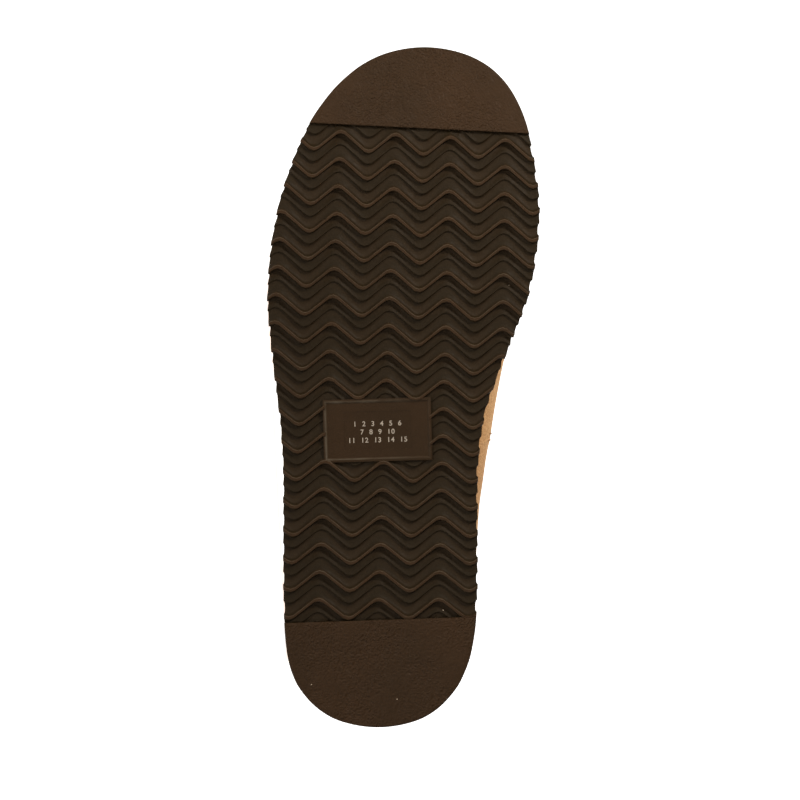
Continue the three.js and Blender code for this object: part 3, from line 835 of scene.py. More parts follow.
@dataclass
class RubberSole:
    """The moulded sole: zigzag ridges between two smooth pads, a framed panel and a stepped side wall.

    Lengths in mm. Ridges are swept along the zigzag, so that each edge of a ridge is a line of the mesh.
    """

    # Zigzag rows: where the ridges of the first and the last row lie, and the waves along them
    ridge_pitch: float = 12.06
    first_ridge: float = 257.15
    last_ridge: float = 52.1
    ridge_width: float = 1.6
    swing: float = 4.1
    bend_share: float = 0.2
    wave_pitch_toe: float = 24.15
    wave_pitch_heel: float = 26.4
    wave_shift_toe: float = 6.8
    wave_shift_heel: float = -0.8
    row_tilt_toe: float = 3.0
    # Smooth pads: where their edges cross the middle, and how many degrees they tilt
    toe_pad_edge: float = 264.5
    toe_pad_tilt: float = 2.8
    heel_pad_edge: float = 47.3
    heel_pad_tilt: float = -1.9
    # Panel in the waist: a raised ground, a recess in it and a plate for the numbers
    panel_along: float = 130.8
    panel_across: float = -1.3
    panel_turn: float = -1.6
    panel_size: tuple[float, float] = (25.4, 45.5)
    panel_margin: float = 1.2
    plateau_depth: float = 0.45
    panel_wall: float = 0.8
    panel_sink: float = 1.0
    # Share of the grooves' painted shade that the panel's recess gets
    panel_shade: float = 0.35
    recess_flare: float = 0.4
    plate_size: tuple[float, float] = (16.6, 29.6)
    plate_sink: float = 0.14
    # Numbers on the plate
    number_rows: tuple[str, ...] = ("1  2  3  4  5  6", "7  8  9  10", "11  12  13  14  15")
    number_height: float = 2.25
    number_pitch: float = 3.6
    number_drop: float = 0.85
    number_space: float = 1.15
    cap_share: float = 0.73
    stroke_gain: float = 0.04
    ink_thickness: float = 0.03
    # Steps of the meshes, and how far the blocks that trim the sole reach past it
    round_steps: int = 6
    wave_steps: int = 14
    wave_reach: float = 3.5
    spare_rows: int = 3
    strip_reach: tuple[float, float] = (-75.0, 85.0)
    strip_steps: int = 41
    pad_reach: float = 62.0
    cutter_foot: float = -10.0
    panel_block: float = 30.0
    # Marks for the finish: pale rims of ridges and panel, painted highlights with some wear, and where the
    # painted shade of the grooves ends up the side wall
    rim_place: float = 0.16
    rim_reach: float = 0.14
    rear_highlight_and_wear_share: float = 0.35
    panel_highlight_shares: tuple[float, float] = (1.0, 0.12)
    crest_band: float = 0.2
    wall_depth: float = 4.2
    wall_fade: float = 1.4
    ink: InkFinish = field(default_factory=InkFinish)
    finish: RubberFinish = field(default_factory=RubberFinish)
    # Edge of a smooth pad, rounded over: a place in from the edge and its depth
    pad_lip: Table = Table("back depth", [(0.0, 0.5), (0.1, 0.18), (0.3, 0.03), (0.6, 0.0)])
    # Groove between the ridges and the toe pad: a place towards the toe and its depth
    moat: Table = Table("back depth", [(-0.75, 0.55), (-0.6, 0.9), (0.4, 0.9)])
    # Edge of the panel's raised ground, from its face down: an inset and a drop
    plateau_edge: Table = Table("step inset drop", [(0, 0.3, 0.0), (1, 0.1, 0.08), (2, 0.0, 0.4)])
    # Section of one ridge and the groove behind it: a place towards the heel, and how deep the rubber
    # lies under the tread's plane at the zigzag's forward bends and at its rear bends
    ridge_section: Table = Table("back crest valley", [
        (0.0, 0.3, 0.34), (0.16, 0.1, 0.12), (0.36, 0.0, 0.0), (0.8, 0.06, 0.05), (1.24, 0.0, 0.0),
        (1.44, 0.1, 0.1), (1.6, 0.36, 0.34), (1.8, 1.9, 1.1), (2.0, 2.6, 1.45), (3.0, 2.6, 1.5),
        (4.2, 2.0, 1.45), (5.2, 1.56, 1.35), (5.75, 1.3, 1.16), (6.15, 1.26, 1.12), (6.4, 1.4, 1.28),
        (6.6, 1.85, 1.85), (7.3, 1.9, 2.3), (8.8, 1.7, 2.35), (10.4, 1.4, 2.2), (11.3, 1.1, 1.7),
        (11.7, 0.75, 1.0),
    ])
    # Side wall from the tread up: a share of the way from tread to top, a rise and an inset, and how
    # much more the wall draws in on the inner side
    wall: Table = Table("step share rise inset inner", [
        (0, 0, -1.0, 1.6, 0), (1, 0, 0.0, 0.42, 0), (2, 0, 0.14, 0.17, 0), (3, 0, 0.42, 0.03, 0),
        (4, 0, 0.85, 0.0, 0), (5, 0, 1.4, 0.1, 0.05), (6, 0, 2.0, 0.35, 0.2), (7, 0, 2.7, 0.62, 0.35),
        (8, 0, 3.5, 0.85, 0.3), (9, 0, 4.5, 1.05, 0.15), (10, 0.3, 1.0, 1.6, 0), (11, 0.55, -0.5, 1.86, 0),
        (12, 0.55, -0.15, 1.95, 0), (13, 0.55, 0.2, 2.25, 0), (14, 0.55, 0.5, 2.75, 0),
        (15, 0.55, 0.85, 3.0, 0), (16, 0.8, 0.0, 3.3, 0), (17, 1, -0.6, 3.55, 0), (18, 1, -0.2, 3.7, 0),
        (19, 1, 0.0, 4.1, 0),
    ])

    def body(self) -> bpy.types.Object:
        """Sole without its tread, from the rings of its side wall.

        Returns:
            The solid.
        """
        stations = np.arange(LAST.loop_steps * self.round_steps) / self.round_steps
        _, side = LAST.folded(stations)
        points = []
        wall = self.wall.columns
        for k in range(len(self.wall.places)):
            inset = wall["inset"][k] + np.where(side > 0, wall["inner"][k], 0.0)
            plan = LAST.offset(stations, -inset)
            height = mix(LAST.tread(plan[:, 0]), LAST.sole_top(plan[:, 0]), wall["share"][k])
            points.append(np.column_stack([plan, height + wall["rise"][k]]))
        count, rings = len(stations), len(points)
        faces = [f[::-1] for f in grid_faces(rings, count, round_count=True)]
        faces += cap_faces(0, count) + [f[::-1] for f in cap_faces((rings - 1) * count, count)]
        return mesh_object("rubber_sole", np.concatenate(points), faces)

    def lift(self, wave: Array) -> Array:
        """How far the zigzag runs towards the toe, with rounded bends.

        Args:
            wave: wave numbers across the tread.

        Returns:
            The distances.
        """
        t = np.abs(np.mod(wave, 1.0) - 0.5) * 2
        b = self.bend_share
        ends = np.where(t < b, t * t / (2 * b), 1 - b - (1 - t) ** 2 / (2 * b))
        run = np.where((t >= b) & (t <= 1 - b), t - b / 2, ends)
        return self.swing * (2 * run / (1 - b) - 1)

    def wave_place(self, row: Array, wave: Array) -> Array:
        """Place on the tread of a row at a wave number.

        Args:
            row: places of rows along the shoe.
            wave: wave numbers across the tread.

        Returns:
            The places, along and across.
        """
        share = (row - self.last_ridge) / (self.first_ridge - self.last_ridge)
        pitch = mix(self.wave_pitch_heel, self.wave_pitch_toe, share)
        across = mix(self.wave_shift_heel, self.wave_shift_toe, share) + wave * pitch
        tilt = np.tan(np.radians(mix(0.0, self.row_tilt_toe, share)))
        return np.stack([row + self.lift(wave) - across * tilt, across], -1)

    def ridges(self) -> bpy.types.Object:
        """Block whose lower face has the ridges and grooves.

        Returns:
            The solid.
        """
        backs = self.ridge_section.places
        count = round((self.first_ridge - self.last_ridge) / self.ridge_pitch)
        order = np.arange(-self.spare_rows, count + self.spare_rows)
        starts = self.first_ridge + self.ridge_width / 2 - self.ridge_pitch * order
        rows = (starts[:, None] - backs).ravel()
        waves = np.arange(-self.wave_reach, self.wave_reach + 1e-6, 1 / self.wave_steps)
        plan = self.wave_place(rows[:, None], waves[None, :])
        forward = self.lift(waves) / self.swing / 2 + 0.5
        crest = np.tile(self.ridge_section.columns["crest"], len(starts))
        valley = np.tile(self.ridge_section.columns["valley"], len(starts))
        depth = mix(valley[:, None], crest[:, None], smooth(forward)[None, :])
        tread = LAST.tread(plan[..., 0])
        return height_block("ridges", plan, tread + depth, np.full_like(tread, BLOCK_TOP))

    def strip(self, name: str, edge: float, tilt: float, backs: Array, depths: Array,
              low: Optional[float] = None) -> bpy.types.Object:
        """Solid along a tilted line across the tread.

        Args:
            name: the solid's name.
            edge: where the line crosses the middle.
            tilt: the line's turn in degrees.
            backs: places towards the toe from the line.
            depths: depth of the rubber at each place.
            low: height of the lower face of a cutter, or None for a block of rubber.

        Returns:
            The solid.
        """
        across = np.linspace(*self.strip_reach, self.strip_steps)
        order = np.argsort(backs)
        backs, depths = np.asarray(backs, float)[order], np.asarray(depths, float)[order]
        x = edge + backs[:, None] - across[None, :] * math.tan(math.radians(tilt))
        plan = np.stack([x, np.broadcast_to(across, x.shape)], -1)
        face = LAST.tread(plan[..., 0]) + depths[:, None]
        if low is None:
            return height_block(name, plan, face, np.full_like(face, BLOCK_TOP))
        return height_block(name, plan, np.full_like(face, low), face)

    def pad(self, name: str, edge: float, tilt: float, towards: float) -> bpy.types.Object:
        """Block of one smooth pad, with its edge rounded over.

        Args:
            name: the solid's name.
            edge: where its edge crosses the middle.
            tilt: the edge's turn in degrees.
            towards: 1 for a pad at the toe, -1 for one at the heel.

        Returns:
            The solid.
        """
        flat = np.arange(1.5, self.pad_reach, 2.0)
        backs = towards * np.concatenate([self.pad_lip.columns["back"], flat])
        depths = np.concatenate([self.pad_lip.columns["depth"], np.zeros_like(flat)])
        return self.strip(name, edge, tilt, backs, depths)

    def panel_box(self, name: str, sizes: Sequence[tuple[float, float, float]]) -> bpy.types.Object:
        """Solid over the panel from rectangles, each a half length, a half width and a depth.

        Args:
            name: the solid's name.
            sizes: the rectangles, from the ground inwards.

        Returns:
            The solid.
        """
        turn = math.radians(self.panel_turn)
        base = float(LAST.tread(np.array(self.panel_along)))
        points, faces = [], []
        for half_along, half_across, depth in sizes:
            for a, b in ((-1, -1), (1, -1), (1, 1), (-1, 1)):
                u, v = a * half_along, b * half_across
                points.append((
                    self.panel_along + u * math.cos(turn) - v * math.sin(turn),
                    self.panel_across + u * math.sin(turn) + v * math.cos(turn), base + depth,
                ))
        for k in range(len(sizes) - 1):
            for i in range(4):
                n = (i + 1) % 4
                faces.append((4 * k + i, 4 * k + n, 4 * k + 4 + n, 4 * k + 4 + i))
        last = 4 * (len(sizes) - 1)
        faces += [(3, 2, 1, 0), (last, last + 1, last + 2, last + 3)]
        return mesh_object(name, np.array(points), faces)

    def tread_block(self) -> bpy.types.Object:
        """Block that trims the sole to its tread: ridges, pads and panel.

        Returns:
            The solid.
        """
        block = self.ridges()
        moat = self.strip("moat", self.toe_pad_edge, self.toe_pad_tilt, self.moat.columns["back"],
                          self.moat.columns["depth"], low=self.cutter_foot)
        carve(block, moat, Carving.CUT)
        carve(block, self.pad("toe_pad", self.toe_pad_edge, self.toe_pad_tilt, 1.0), Carving.JOIN)
        carve(block, self.pad("heel_pad", self.heel_pad_edge, self.heel_pad_tilt, -1.0), Carving.JOIN)
        half = np.array(self.panel_size) / 2
        grown = half + self.panel_margin
        insets, drops = self.plateau_edge.columns["inset"], self.plateau_edge.columns["drop"]
        plateau = [(*(grown - inset), self.plateau_depth + drop) for inset, drop in zip(insets, drops)]
        carve(block, self.panel_box("plateau", [*plateau, (*grown, self.panel_block)]), Carving.JOIN)
        carve(block, self.panel_box("recess", [
            (*(half + self.recess_flare), -0.5), (*half, self.plateau_depth),
            (*(half - self.panel_wall), self.panel_sink),
        ]), Carving.CUT)
        plate = np.array(self.plate_size) / 2
        carve(block, self.panel_box("plate", [
            (*plate, self.panel_sink - 1), (*plate, self.panel_sink + self.plate_sink),
        ]), Carving.CUT)
        return block

    def pale_rim_highlight_and_wear(self, points: Array) -> Array:
        """How pale the two rims of each main ridge are painted, as highlights with some wear: most on the
        one towards the toe.

        Args:
            points: points in shoe millimetres.

        Returns:
            A number from 0 to 1 for each point.
        """
        row = points[:, 0]
        for _ in range(6):
            share = (row - self.last_ridge) / (self.first_ridge - self.last_ridge)
            pitch = mix(self.wave_pitch_heel, self.wave_pitch_toe, share)
            wave = (points[:, 1] - mix(self.wave_shift_heel, self.wave_shift_toe, share)) / pitch
            row = row + points[:, 0] - self.wave_place(row, wave)[:, 0]
        back = np.mod(self.first_ridge + self.ridge_width / 2 - row, self.ridge_pitch)
        front = bump_at(back, self.rim_place, self.rim_reach)
        rear = bump_at(back, self.ridge_width - self.rim_place, self.rim_reach)
        return np.maximum(front, self.rear_highlight_and_wear_share * rear)

    def panel_edge_highlight(self, points: Array) -> Array:
        """How pale the rim of the panel's recess is painted, as a highlight: most on its outer side.

        Args:
            points: points in shoe millimetres.

        Returns:
            A number from 0 to 1 for each point.
        """
        turn = math.radians(self.panel_turn)
        x, y = points[:, 0] - self.panel_along, points[:, 1] - self.panel_across
        u = (x * math.cos(turn) + y * math.sin(turn)) / (self.panel_size[0] / 2)
        v = (y * math.cos(turn) - x * math.sin(turn)) / (self.panel_size[1] / 2)
        depth = points[:, 2] - LAST.tread(points[:, 0])
        on_rim = np.abs(np.maximum(np.abs(u), np.abs(v)) - 1) < 0.004
        on_rim &= np.abs(depth - self.plateau_depth) < 0.06
        return on_rim * np.where(v < 0, *self.panel_highlight_shares)

    def mark(self, sole: bpy.types.Object) -> None:
        """Keeps on the mesh what the finish reads: how deep, for the painted shade, how pale the rims are
        painted, as highlights with some wear, and whether on a pad.

        Args:
            sole: the trimmed sole.
        """
        points = shoe_points(sole)
        x, y = points[:, 0], points[:, 1]
        half = np.array(self.panel_size) / 2
        off_panel = np.abs(x - self.panel_along) > half[0] - 0.1
        off_panel |= np.abs(y - self.panel_across) > half[1] - 0.1
        # Depth below the tread, which drives the painted shade: faded out up the side wall, weaker in the
        # panel, none on the pads
        depth = points[:, 2] - LAST.tread(x)
        depth *= smooth((self.wall_depth - depth) / self.wall_fade)
        depth *= np.where(off_panel, 1.0, self.panel_shade)
        toe = x + y * math.tan(math.radians(self.toe_pad_tilt)) - self.toe_pad_edge
        heel = self.heel_pad_edge - x - y * math.tan(math.radians(self.heel_pad_tilt))
        beyond = np.maximum(toe, heel)
        # Pale rims, painted highlights with some wear, only on the ridges' crests away from pads and panel,
        # plus the panel recess's painted highlight
        crest = (np.abs(depth) < self.crest_band) & (beyond < -0.8) & off_panel
        store(sole, "highlight_and_wear", np.maximum(self.pale_rim_highlight_and_wear(points) * crest, self.panel_edge_highlight(points)))
        store(sole, "pad", clamp01(beyond / 0.2 + 1))
        store(sole, "depth", depth * np.where(beyond > 1.0, 0.0, 1.0))

    def numbers(self) -> bpy.types.Object:
        """Rows of plain running numbers, printed on the panel's plate.

        Returns:
            The numbers as one mesh.
        """
        text = bpy.data.curves.new("panel_numbers", "FONT")
        text.body = "\n".join(self.number_rows)
        text.align_x, text.align_y = "CENTER", "CENTER"
        text.size = self.number_height / self.cap_share
        text.space_character = self.number_space
        text.offset = self.stroke_gain
        text.space_line = self.number_pitch / text.size
        text.extrude = self.ink_thickness
        drawn = new_object("panel_numbers", text)
        mesh = bpy.data.meshes.new_from_object(drawn.evaluated_get(bpy.context.evaluated_depsgraph_get()))
        bpy.data.objects.remove(drawn)
        bpy.data.curves.remove(text)
        base = float(LAST.tread(np.array(self.panel_along))) + self.panel_sink + self.plate_sink - 0.01
        turn = math.radians(self.panel_turn)
        flat = np.empty(len(mesh.vertices) * 3)
        mesh.vertices.foreach_get("co", flat)
        u, v, w = flat.reshape(-1, 3).T
        points = np.stack([
            self.panel_along - self.number_drop + v * math.cos(turn) - u * math.sin(turn),
            self.panel_across + v * math.sin(turn) + u * math.cos(turn), base - w,
        ], -1)
        mesh.vertices.foreach_set("co", SHOE.place(points).ravel())
        mesh.materials.clear()
        return new_object("panel_numbers", mesh)

    def build(self) -> list[bpy.types.Object]:
        """The sole, trimmed to its tread, and the numbers on its panel.

        Returns:
            The pieces.
        """
        sole = shade(carve(self.body(), self.tread_block(), Carving.TRIM), 32)
        self.mark(sole)
        dress(sole, self.finish.build(), "sole_rubber", "outsole")
        return [sole, dress(self.numbers(), self.ink.build(), "sole_rubber")]


def clumps(points: Array, size: float, seed: float) -> Array:
    """Rounded tufts, 0 to about 1, size millimetres apart, at points in shoe millimetres."""
    shift = Vector((seed, -seed, 2 * seed))
    return np.array([1 - voronoi(Vector(p) / size + shift)[0][0] for p in points])


def billow(points: Array, size: float, seed: float) -> Array:
    """Soft noise, -1 to 1, with features size millimetres across, at points in shoe millimetres."""
    shift = Vector((seed, -seed, 2 * seed))
    return np.array([noise(Vector(p) / size + shift) for p in points])


def kdtree(points: Array) -> KDTree:
    """Finder of the nearest of some points in shoe millimetres.

    Args:
        points: the points.

    Returns:
        The finder, ready for use.
    """
    tree = KDTree(len(points))
    for k, point in enumerate(points):
        tree.insert(point, k)
    tree.balance()
    return tree


class Grower:
    """A Geometry Nodes tree with named sizes, which repeats a shape over a piece."""

    def __init__(self, name: str, sizes: dict[str, float]) -> None:
        """Makes the tree with its inputs.

        Args:
            name: the tree's name.
            sizes: the named inputs with their values, in metres where they are lengths.
        """
        self.sizes = sizes
        self.tree = bpy.data.node_groups.new(name, "GeometryNodeTree")
        sockets = self.tree.interface
        sockets.new_socket("Geometry", in_out="INPUT", socket_type="NodeSocketGeometry")
        sockets.new_socket("Geometry", in_out="OUTPUT", socket_type="NodeSocketGeometry")
        for size in sizes:
            sockets.new_socket(size, in_out="INPUT", socket_type="NodeSocketFloat")
        self.given = self.node("NodeGroupInput").outputs

    def node(self, kind: str, inputs: Optional[dict[Any, Any]] = None, **settings: Any) -> bpy.types.Node:
        """A node in this tree."""
        return add_node(self.tree, kind, inputs, **settings)

    def maths(self, operation: str, a: Any, b: Any = 0.0) -> bpy.types.NodeSocket:
        """Result of a sum on two numbers."""
        return self.node("ShaderNodeMath", {0: a, 1: b}, operation=operation).outputs[0]

    def vector(self, x: Any, y: Any, z: Any) -> bpy.types.NodeSocket:
        """Three numbers as a vector."""
        return self.node("ShaderNodeCombineXYZ", {0: x, 1: y, 2: z}).outputs[0]

    def finish(self, instances: bpy.types.NodeSocket, material: bpy.types.Material) -> None:
        """Ends the tree with real geometry in its material.

        Args:
            instances: the socket with the repeated shapes.
            material: their finish.
        """
        real = self.node("GeometryNodeRealizeInstances", {0: instances}).outputs[0]
        rounded = self.node("GeometryNodeSetShadeSmooth", {0: real}).outputs[0]
        dressed = self.node("GeometryNodeSetMaterial", {"Geometry": rounded, "Material": material})
        self.node("NodeGroupOutput", {0: dressed.outputs[0]})

    def run(self, name: str, source: bpy.types.Object) -> bpy.types.Object:
        """Grows the tree's shapes on a source, which is used up.

        Args:
            name: name of the new piece.
            source: the object that the shapes follow.

        Returns:
            The piece, a plain mesh.
        """
        source.name = source.data.name = name
        modifier = source.modifiers.new(name, "NODES")
        modifier.node_group = self.tree
        for item in self.tree.interface.items_tree:
            if item.item_type == "SOCKET" and item.in_out == "INPUT" and item.name in self.sizes:
                modifier[item.identifier] = float(self.sizes[item.name])
        return bake_modifiers(source)


@dataclass(frozen=True)
class SuedeFinish:
    """Chestnut sheepskin suede: a dull napped leather, brushed lighter and darker in soft patches."""

    light: str = "d3ab7b"
    dark: str = "a4764a"
    brushed_share: float = 0.35

    def build(self) -> bpy.types.Material:
        """Builds the finish.

        Returns:
            The material.
        """
        paint = Canvas("chestnut_suede")
        brushed = paint.spread(paint.noise(26, 4), 0.36, 0.64)
        fine = paint.spread(paint.noise(0.7, 2), 0.4, 0.6)
        share = paint.maths("ADD", paint.maths("MULTIPLY", brushed, self.brushed_share),
                            paint.maths("MULTIPLY", fine, 1 - self.brushed_share))
        colour = paint.blend(share, linear(self.dark), linear(self.light))
        paint.set(Base_Color=colour, Roughness=0.95, Specular_IOR_Level=0.2, Sheen_Weight=0.35,
                  Sheen_Roughness=0.5, Sheen_Tint=linear("f0cfa8"))
        paint.bump(paint.noise(0.7, 4), 0.5, 0.9)
        return paint.material


@dataclass(frozen=True)
class WoolFinish:
    """Cream sheepskin wool: curly, dull and softly lit through, yellower at the roots."""

    name: str = "cream_wool"
    tip: str = "f4ead6"
    root: str = "e0cba8"

    def build(self) -> bpy.types.Material:
        """Builds the finish.

        Returns:
            The material.
        """
        paint = Canvas(self.name)
        patch = paint.spread(paint.noise(9, 3), 0.35, 0.65)
        strand = paint.spread(paint.noise(0.9, 3), 0.3, 0.7)
        share = paint.maths("ADD", paint.maths("MULTIPLY", patch, 0.5), paint.maths("MULTIPLY", strand, 0.5))
        colour = paint.blend(share, linear(self.root), linear(self.tip))
        paint.set(Base_Color=colour, Roughness=0.9, Specular_IOR_Level=0.25, Sheen_Weight=0.5,
                  Sheen_Roughness=0.4, Sheen_Tint=linear("fff4e0"))
        paint.bump(paint.noise(0.8, 4), 0.5, 0.9)
        return paint.material


@dataclass(frozen=True)
class ThreadFinish:
    """Waxed polyester thread a shade paler than the suede, twisted from three plies."""

    colour: str = "c79a68"
    shade: str = "96673b"

    def build(self) -> bpy.types.Material:
        """Builds the finish.

        Returns:
            The material.
        """
        paint = Canvas("waxed_thread")
        ply = paint.spread(paint.noise(0.35, 2), 0.4, 0.6)
        paint.set(Base_Color=paint.blend(ply, linear(self.shade), linear(self.colour)), Roughness=0.6)
        paint.bump(ply, 0.12, 0.8)
        return paint.material


@dataclass
class Stitching:
    """Rows of stitches, repeated along lines by Geometry Nodes. Lengths in mm."""

    pitch: float = 3.4
    length: float = 2.6
    width: float = 0.75
    flatness: float = 0.8
    material: Optional[bpy.types.Material] = None

    def run(self, name: str, lines: Sequence[tuple[Array, Array]]) -> bpy.types.Object:
        """Lays the stitches.

        Args:
            name: the piece's name.
            lines: for each row, its points in shoe millimetres and the wall's normals there.

        Returns:
            The stitches as one mesh.
        """
        points, edges, outs = [], [], []
        for line, normals in lines:
            first = len(points)
            points += SHOE.place(line).tolist()
            outs += (normals @ (SHOE.axes / MM).T).tolist()
            edges += [(k, k + 1) for k in range(first, len(points) - 1)]
        mesh = bpy.data.meshes.new(name)
        mesh.from_pydata(points, edges, [])
        mesh.attributes.new("out", "FLOAT_VECTOR", "POINT").data.foreach_set("vector", np.ravel(outs))
        grower = Grower("stitches", {
            "Pitch": self.pitch * MM, "Stitch Length": self.length * MM, "Thread Width": self.width * MM,
        })
        given = grower.given
        curve = grower.node("GeometryNodeMeshToCurve", {0: given["Geometry"]}).outputs[0]
        spaced = grower.node("GeometryNodeResampleCurve", {"Curve": curve, "Length": given["Pitch"]},
                             mode="LENGTH").outputs[0]
        loose = grower.node("GeometryNodeCurveToPoints", {"Curve": spaced}, mode="EVALUATED")
        out = grower.node("GeometryNodeInputNamedAttribute", {"Name": "out"}, data_type="FLOAT_VECTOR")
        along = grower.node("FunctionNodeAlignRotationToVector", {
            "Vector": loose.outputs["Tangent"]}, axis="X")
        turned = grower.node("FunctionNodeAlignRotationToVector", {
            "Rotation": along.outputs[0], "Vector": out.outputs[0]}, axis="Z", pivot_axis="X")
        ball = grower.node("GeometryNodeMeshIcoSphere", {"Radius": 0.5, "Subdivisions": 2}).outputs[0]
        scale = grower.vector(given["Stitch Length"], given["Thread Width"],
                              grower.maths("MULTIPLY", given["Thread Width"], self.flatness))
        stitches = grower.node("GeometryNodeInstanceOnPoints", {
            "Points": loose.outputs["Points"], "Instance": ball, "Rotation": turned.outputs[0],
            "Scale": scale,
        })
        grower.finish(stitches.outputs[0], self.material)
        return grower.run(name, new_object(name, mesh))


@dataclass
class WoolLocks:
    """Curled locks of wool, scattered over a surface by Geometry Nodes. Lengths in mm."""

    spacing: float = 2.0
    length: float = 6.0
    radius: float = 1.0
    curl: float = 0.75
    hook: float = 0.35
    taper: float = 0.72
    lean: float = 0.75
    smallest: float = 0.6
    largest: float = 1.25
    seed: int = 3

    def run(self, name: str, surface: bpy.types.Object, material: bpy.types.Material) -> bpy.types.Object:
        """Grows the locks where the surface's attribute "grow" is above 0.

        Args:
            name: the piece's name.
            surface: the object that they grow on, which stays as it is.
            material: their finish.

        Returns:
            The locks as one mesh.
        """
        grower = Grower("wool_locks", {
            "Density": 1 / (self.spacing * MM) ** 2, "Lock Length": self.length * MM,
            "Lock Radius": self.radius * MM, "Curl": self.curl,
        })
        given = grower.given
        grow = grower.node("GeometryNodeInputNamedAttribute", {"Name": "grow"}, data_type="FLOAT").outputs[0]
        spots = grower.node("GeometryNodeDistributePointsOnFaces", {
            "Mesh": given["Geometry"], "Density": grower.maths("MULTIPLY", grow, given["Density"]),
            "Seed": self.seed,
        })
        bow = grower.maths("MULTIPLY", given["Lock Length"], given["Curl"])
        line = grower.node("GeometryNodeCurveQuadraticBezier", {
            "Resolution": 4, "Start": (0, 0, 0), "Middle": grower.vector(bow, 0.0, bow),
            "End": grower.vector(0.0, grower.maths("MULTIPLY", bow, self.hook), given["Lock Length"]),
        }).outputs[0]
        share = grower.node("GeometryNodeSplineParameter").outputs["Factor"]
        thinned = grower.maths("MULTIPLY", grower.maths("POWER", share, 2.0), self.taper)
        shaped = grower.node("GeometryNodeSetCurveRadius", {
            "Curve": line, "Radius": grower.maths("SUBTRACT", 1.0, thinned)}).outputs[0]
        ring = grower.node("GeometryNodeCurvePrimitiveCircle", {
            "Resolution": 4, "Radius": given["Lock Radius"]})
        lock = grower.node("GeometryNodeCurveToMesh", {
            "Curve": shaped, "Profile Curve": ring.outputs[0], "Fill Caps": True}).outputs[0]
        lean = grower.node("FunctionNodeRandomValue", {
            0: (-self.lean, -self.lean, -math.pi), 1: (self.lean, self.lean, math.pi),
            "Seed": self.seed + 1,
        }, data_type="FLOAT_VECTOR").outputs[0]
        size = grower.node("FunctionNodeRandomValue", {
            2: self.smallest, 3: self.largest, "Seed": self.seed + 2}).outputs[1]
        turn = grower.node("FunctionNodeRotateRotation", {
            "Rotation": spots.outputs["Rotation"],
            "Rotate By": grower.node("FunctionNodeEulerToRotation", {0: lean}).outputs[0],
        }, rotation_space="LOCAL").outputs[0]
        locks = grower.node("GeometryNodeInstanceOnPoints", {
            "Points": spots.outputs["Points"], "Instance": lock, "Rotation": turn, "Scale": size,
        })
        grower.finish(locks.outputs[0], material)
        return grower.run(name, new_object(name, surface.data.copy()))


class LastGrid:
    """Grid of places over the last, up to the collar's edge or the ridge, for a wall that follows it."""

    def __init__(self, stations: Array, low: Array, dome_rows: int) -> None:
        """Works out the grid's points and normals.

        Args:
            stations: stations round the shoe.
            low: levels of the rows under the fullest line.
            dome_rows: rows from the fullest line to the edge.
        """
        self.end = LAST.collar_level(stations)
        dome = np.linspace(0, 1, dome_rows + 1)
        self.levels = np.concatenate([np.broadcast_to(low[:, None], (len(low), len(stations))),
                                      1 + (self.end - 1)[None, :] * dome[:, None]])
        self.around = np.broadcast_to(stations, self.levels.shape)
        closed = self.levels > CLOSED
        self.folded = np.where(closed, np.minimum(self.around, LAST.loop_steps - self.around), self.around)
        self.points = LAST.upper_at(self.folded, self.levels)
        facing = LAST.normal_at(LAST.loop_steps - self.folded, self.levels)
        self.normals = LAST.normal_at(self.folded, self.levels) + np.where(closed[..., None], facing, 0)

    def wall(self, name: str, outer: Array, inner: Array) -> bpy.types.Object:
        """Solid between two faces that follow the grid.

        Args:
            name: the object's name.
            outer: points of the outer face.
            inner: points of the inner face.

        Returns:
            The solid, closed along the feather and round the collar.
        """
        rows, count = self.levels.shape
        shift = rows * count
        faces = [f[::-1] for f in grid_faces(rows, count, round_count=True)]
        faces += grid_faces(rows, count, round_count=True, start=shift)
        top = (rows - 1) * count
        for i in range(count):
            n = (i + 1) % count
            faces.append((i, i + shift, n + shift, n))
            if min(self.end[i], self.end[n]) < CLOSED:
                faces.append((top + i, top + n, top + n + shift, top + i + shift))
        return mesh_object(name, np.concatenate([outer.reshape(-1, 3), inner.reshape(-1, 3)]), faces)


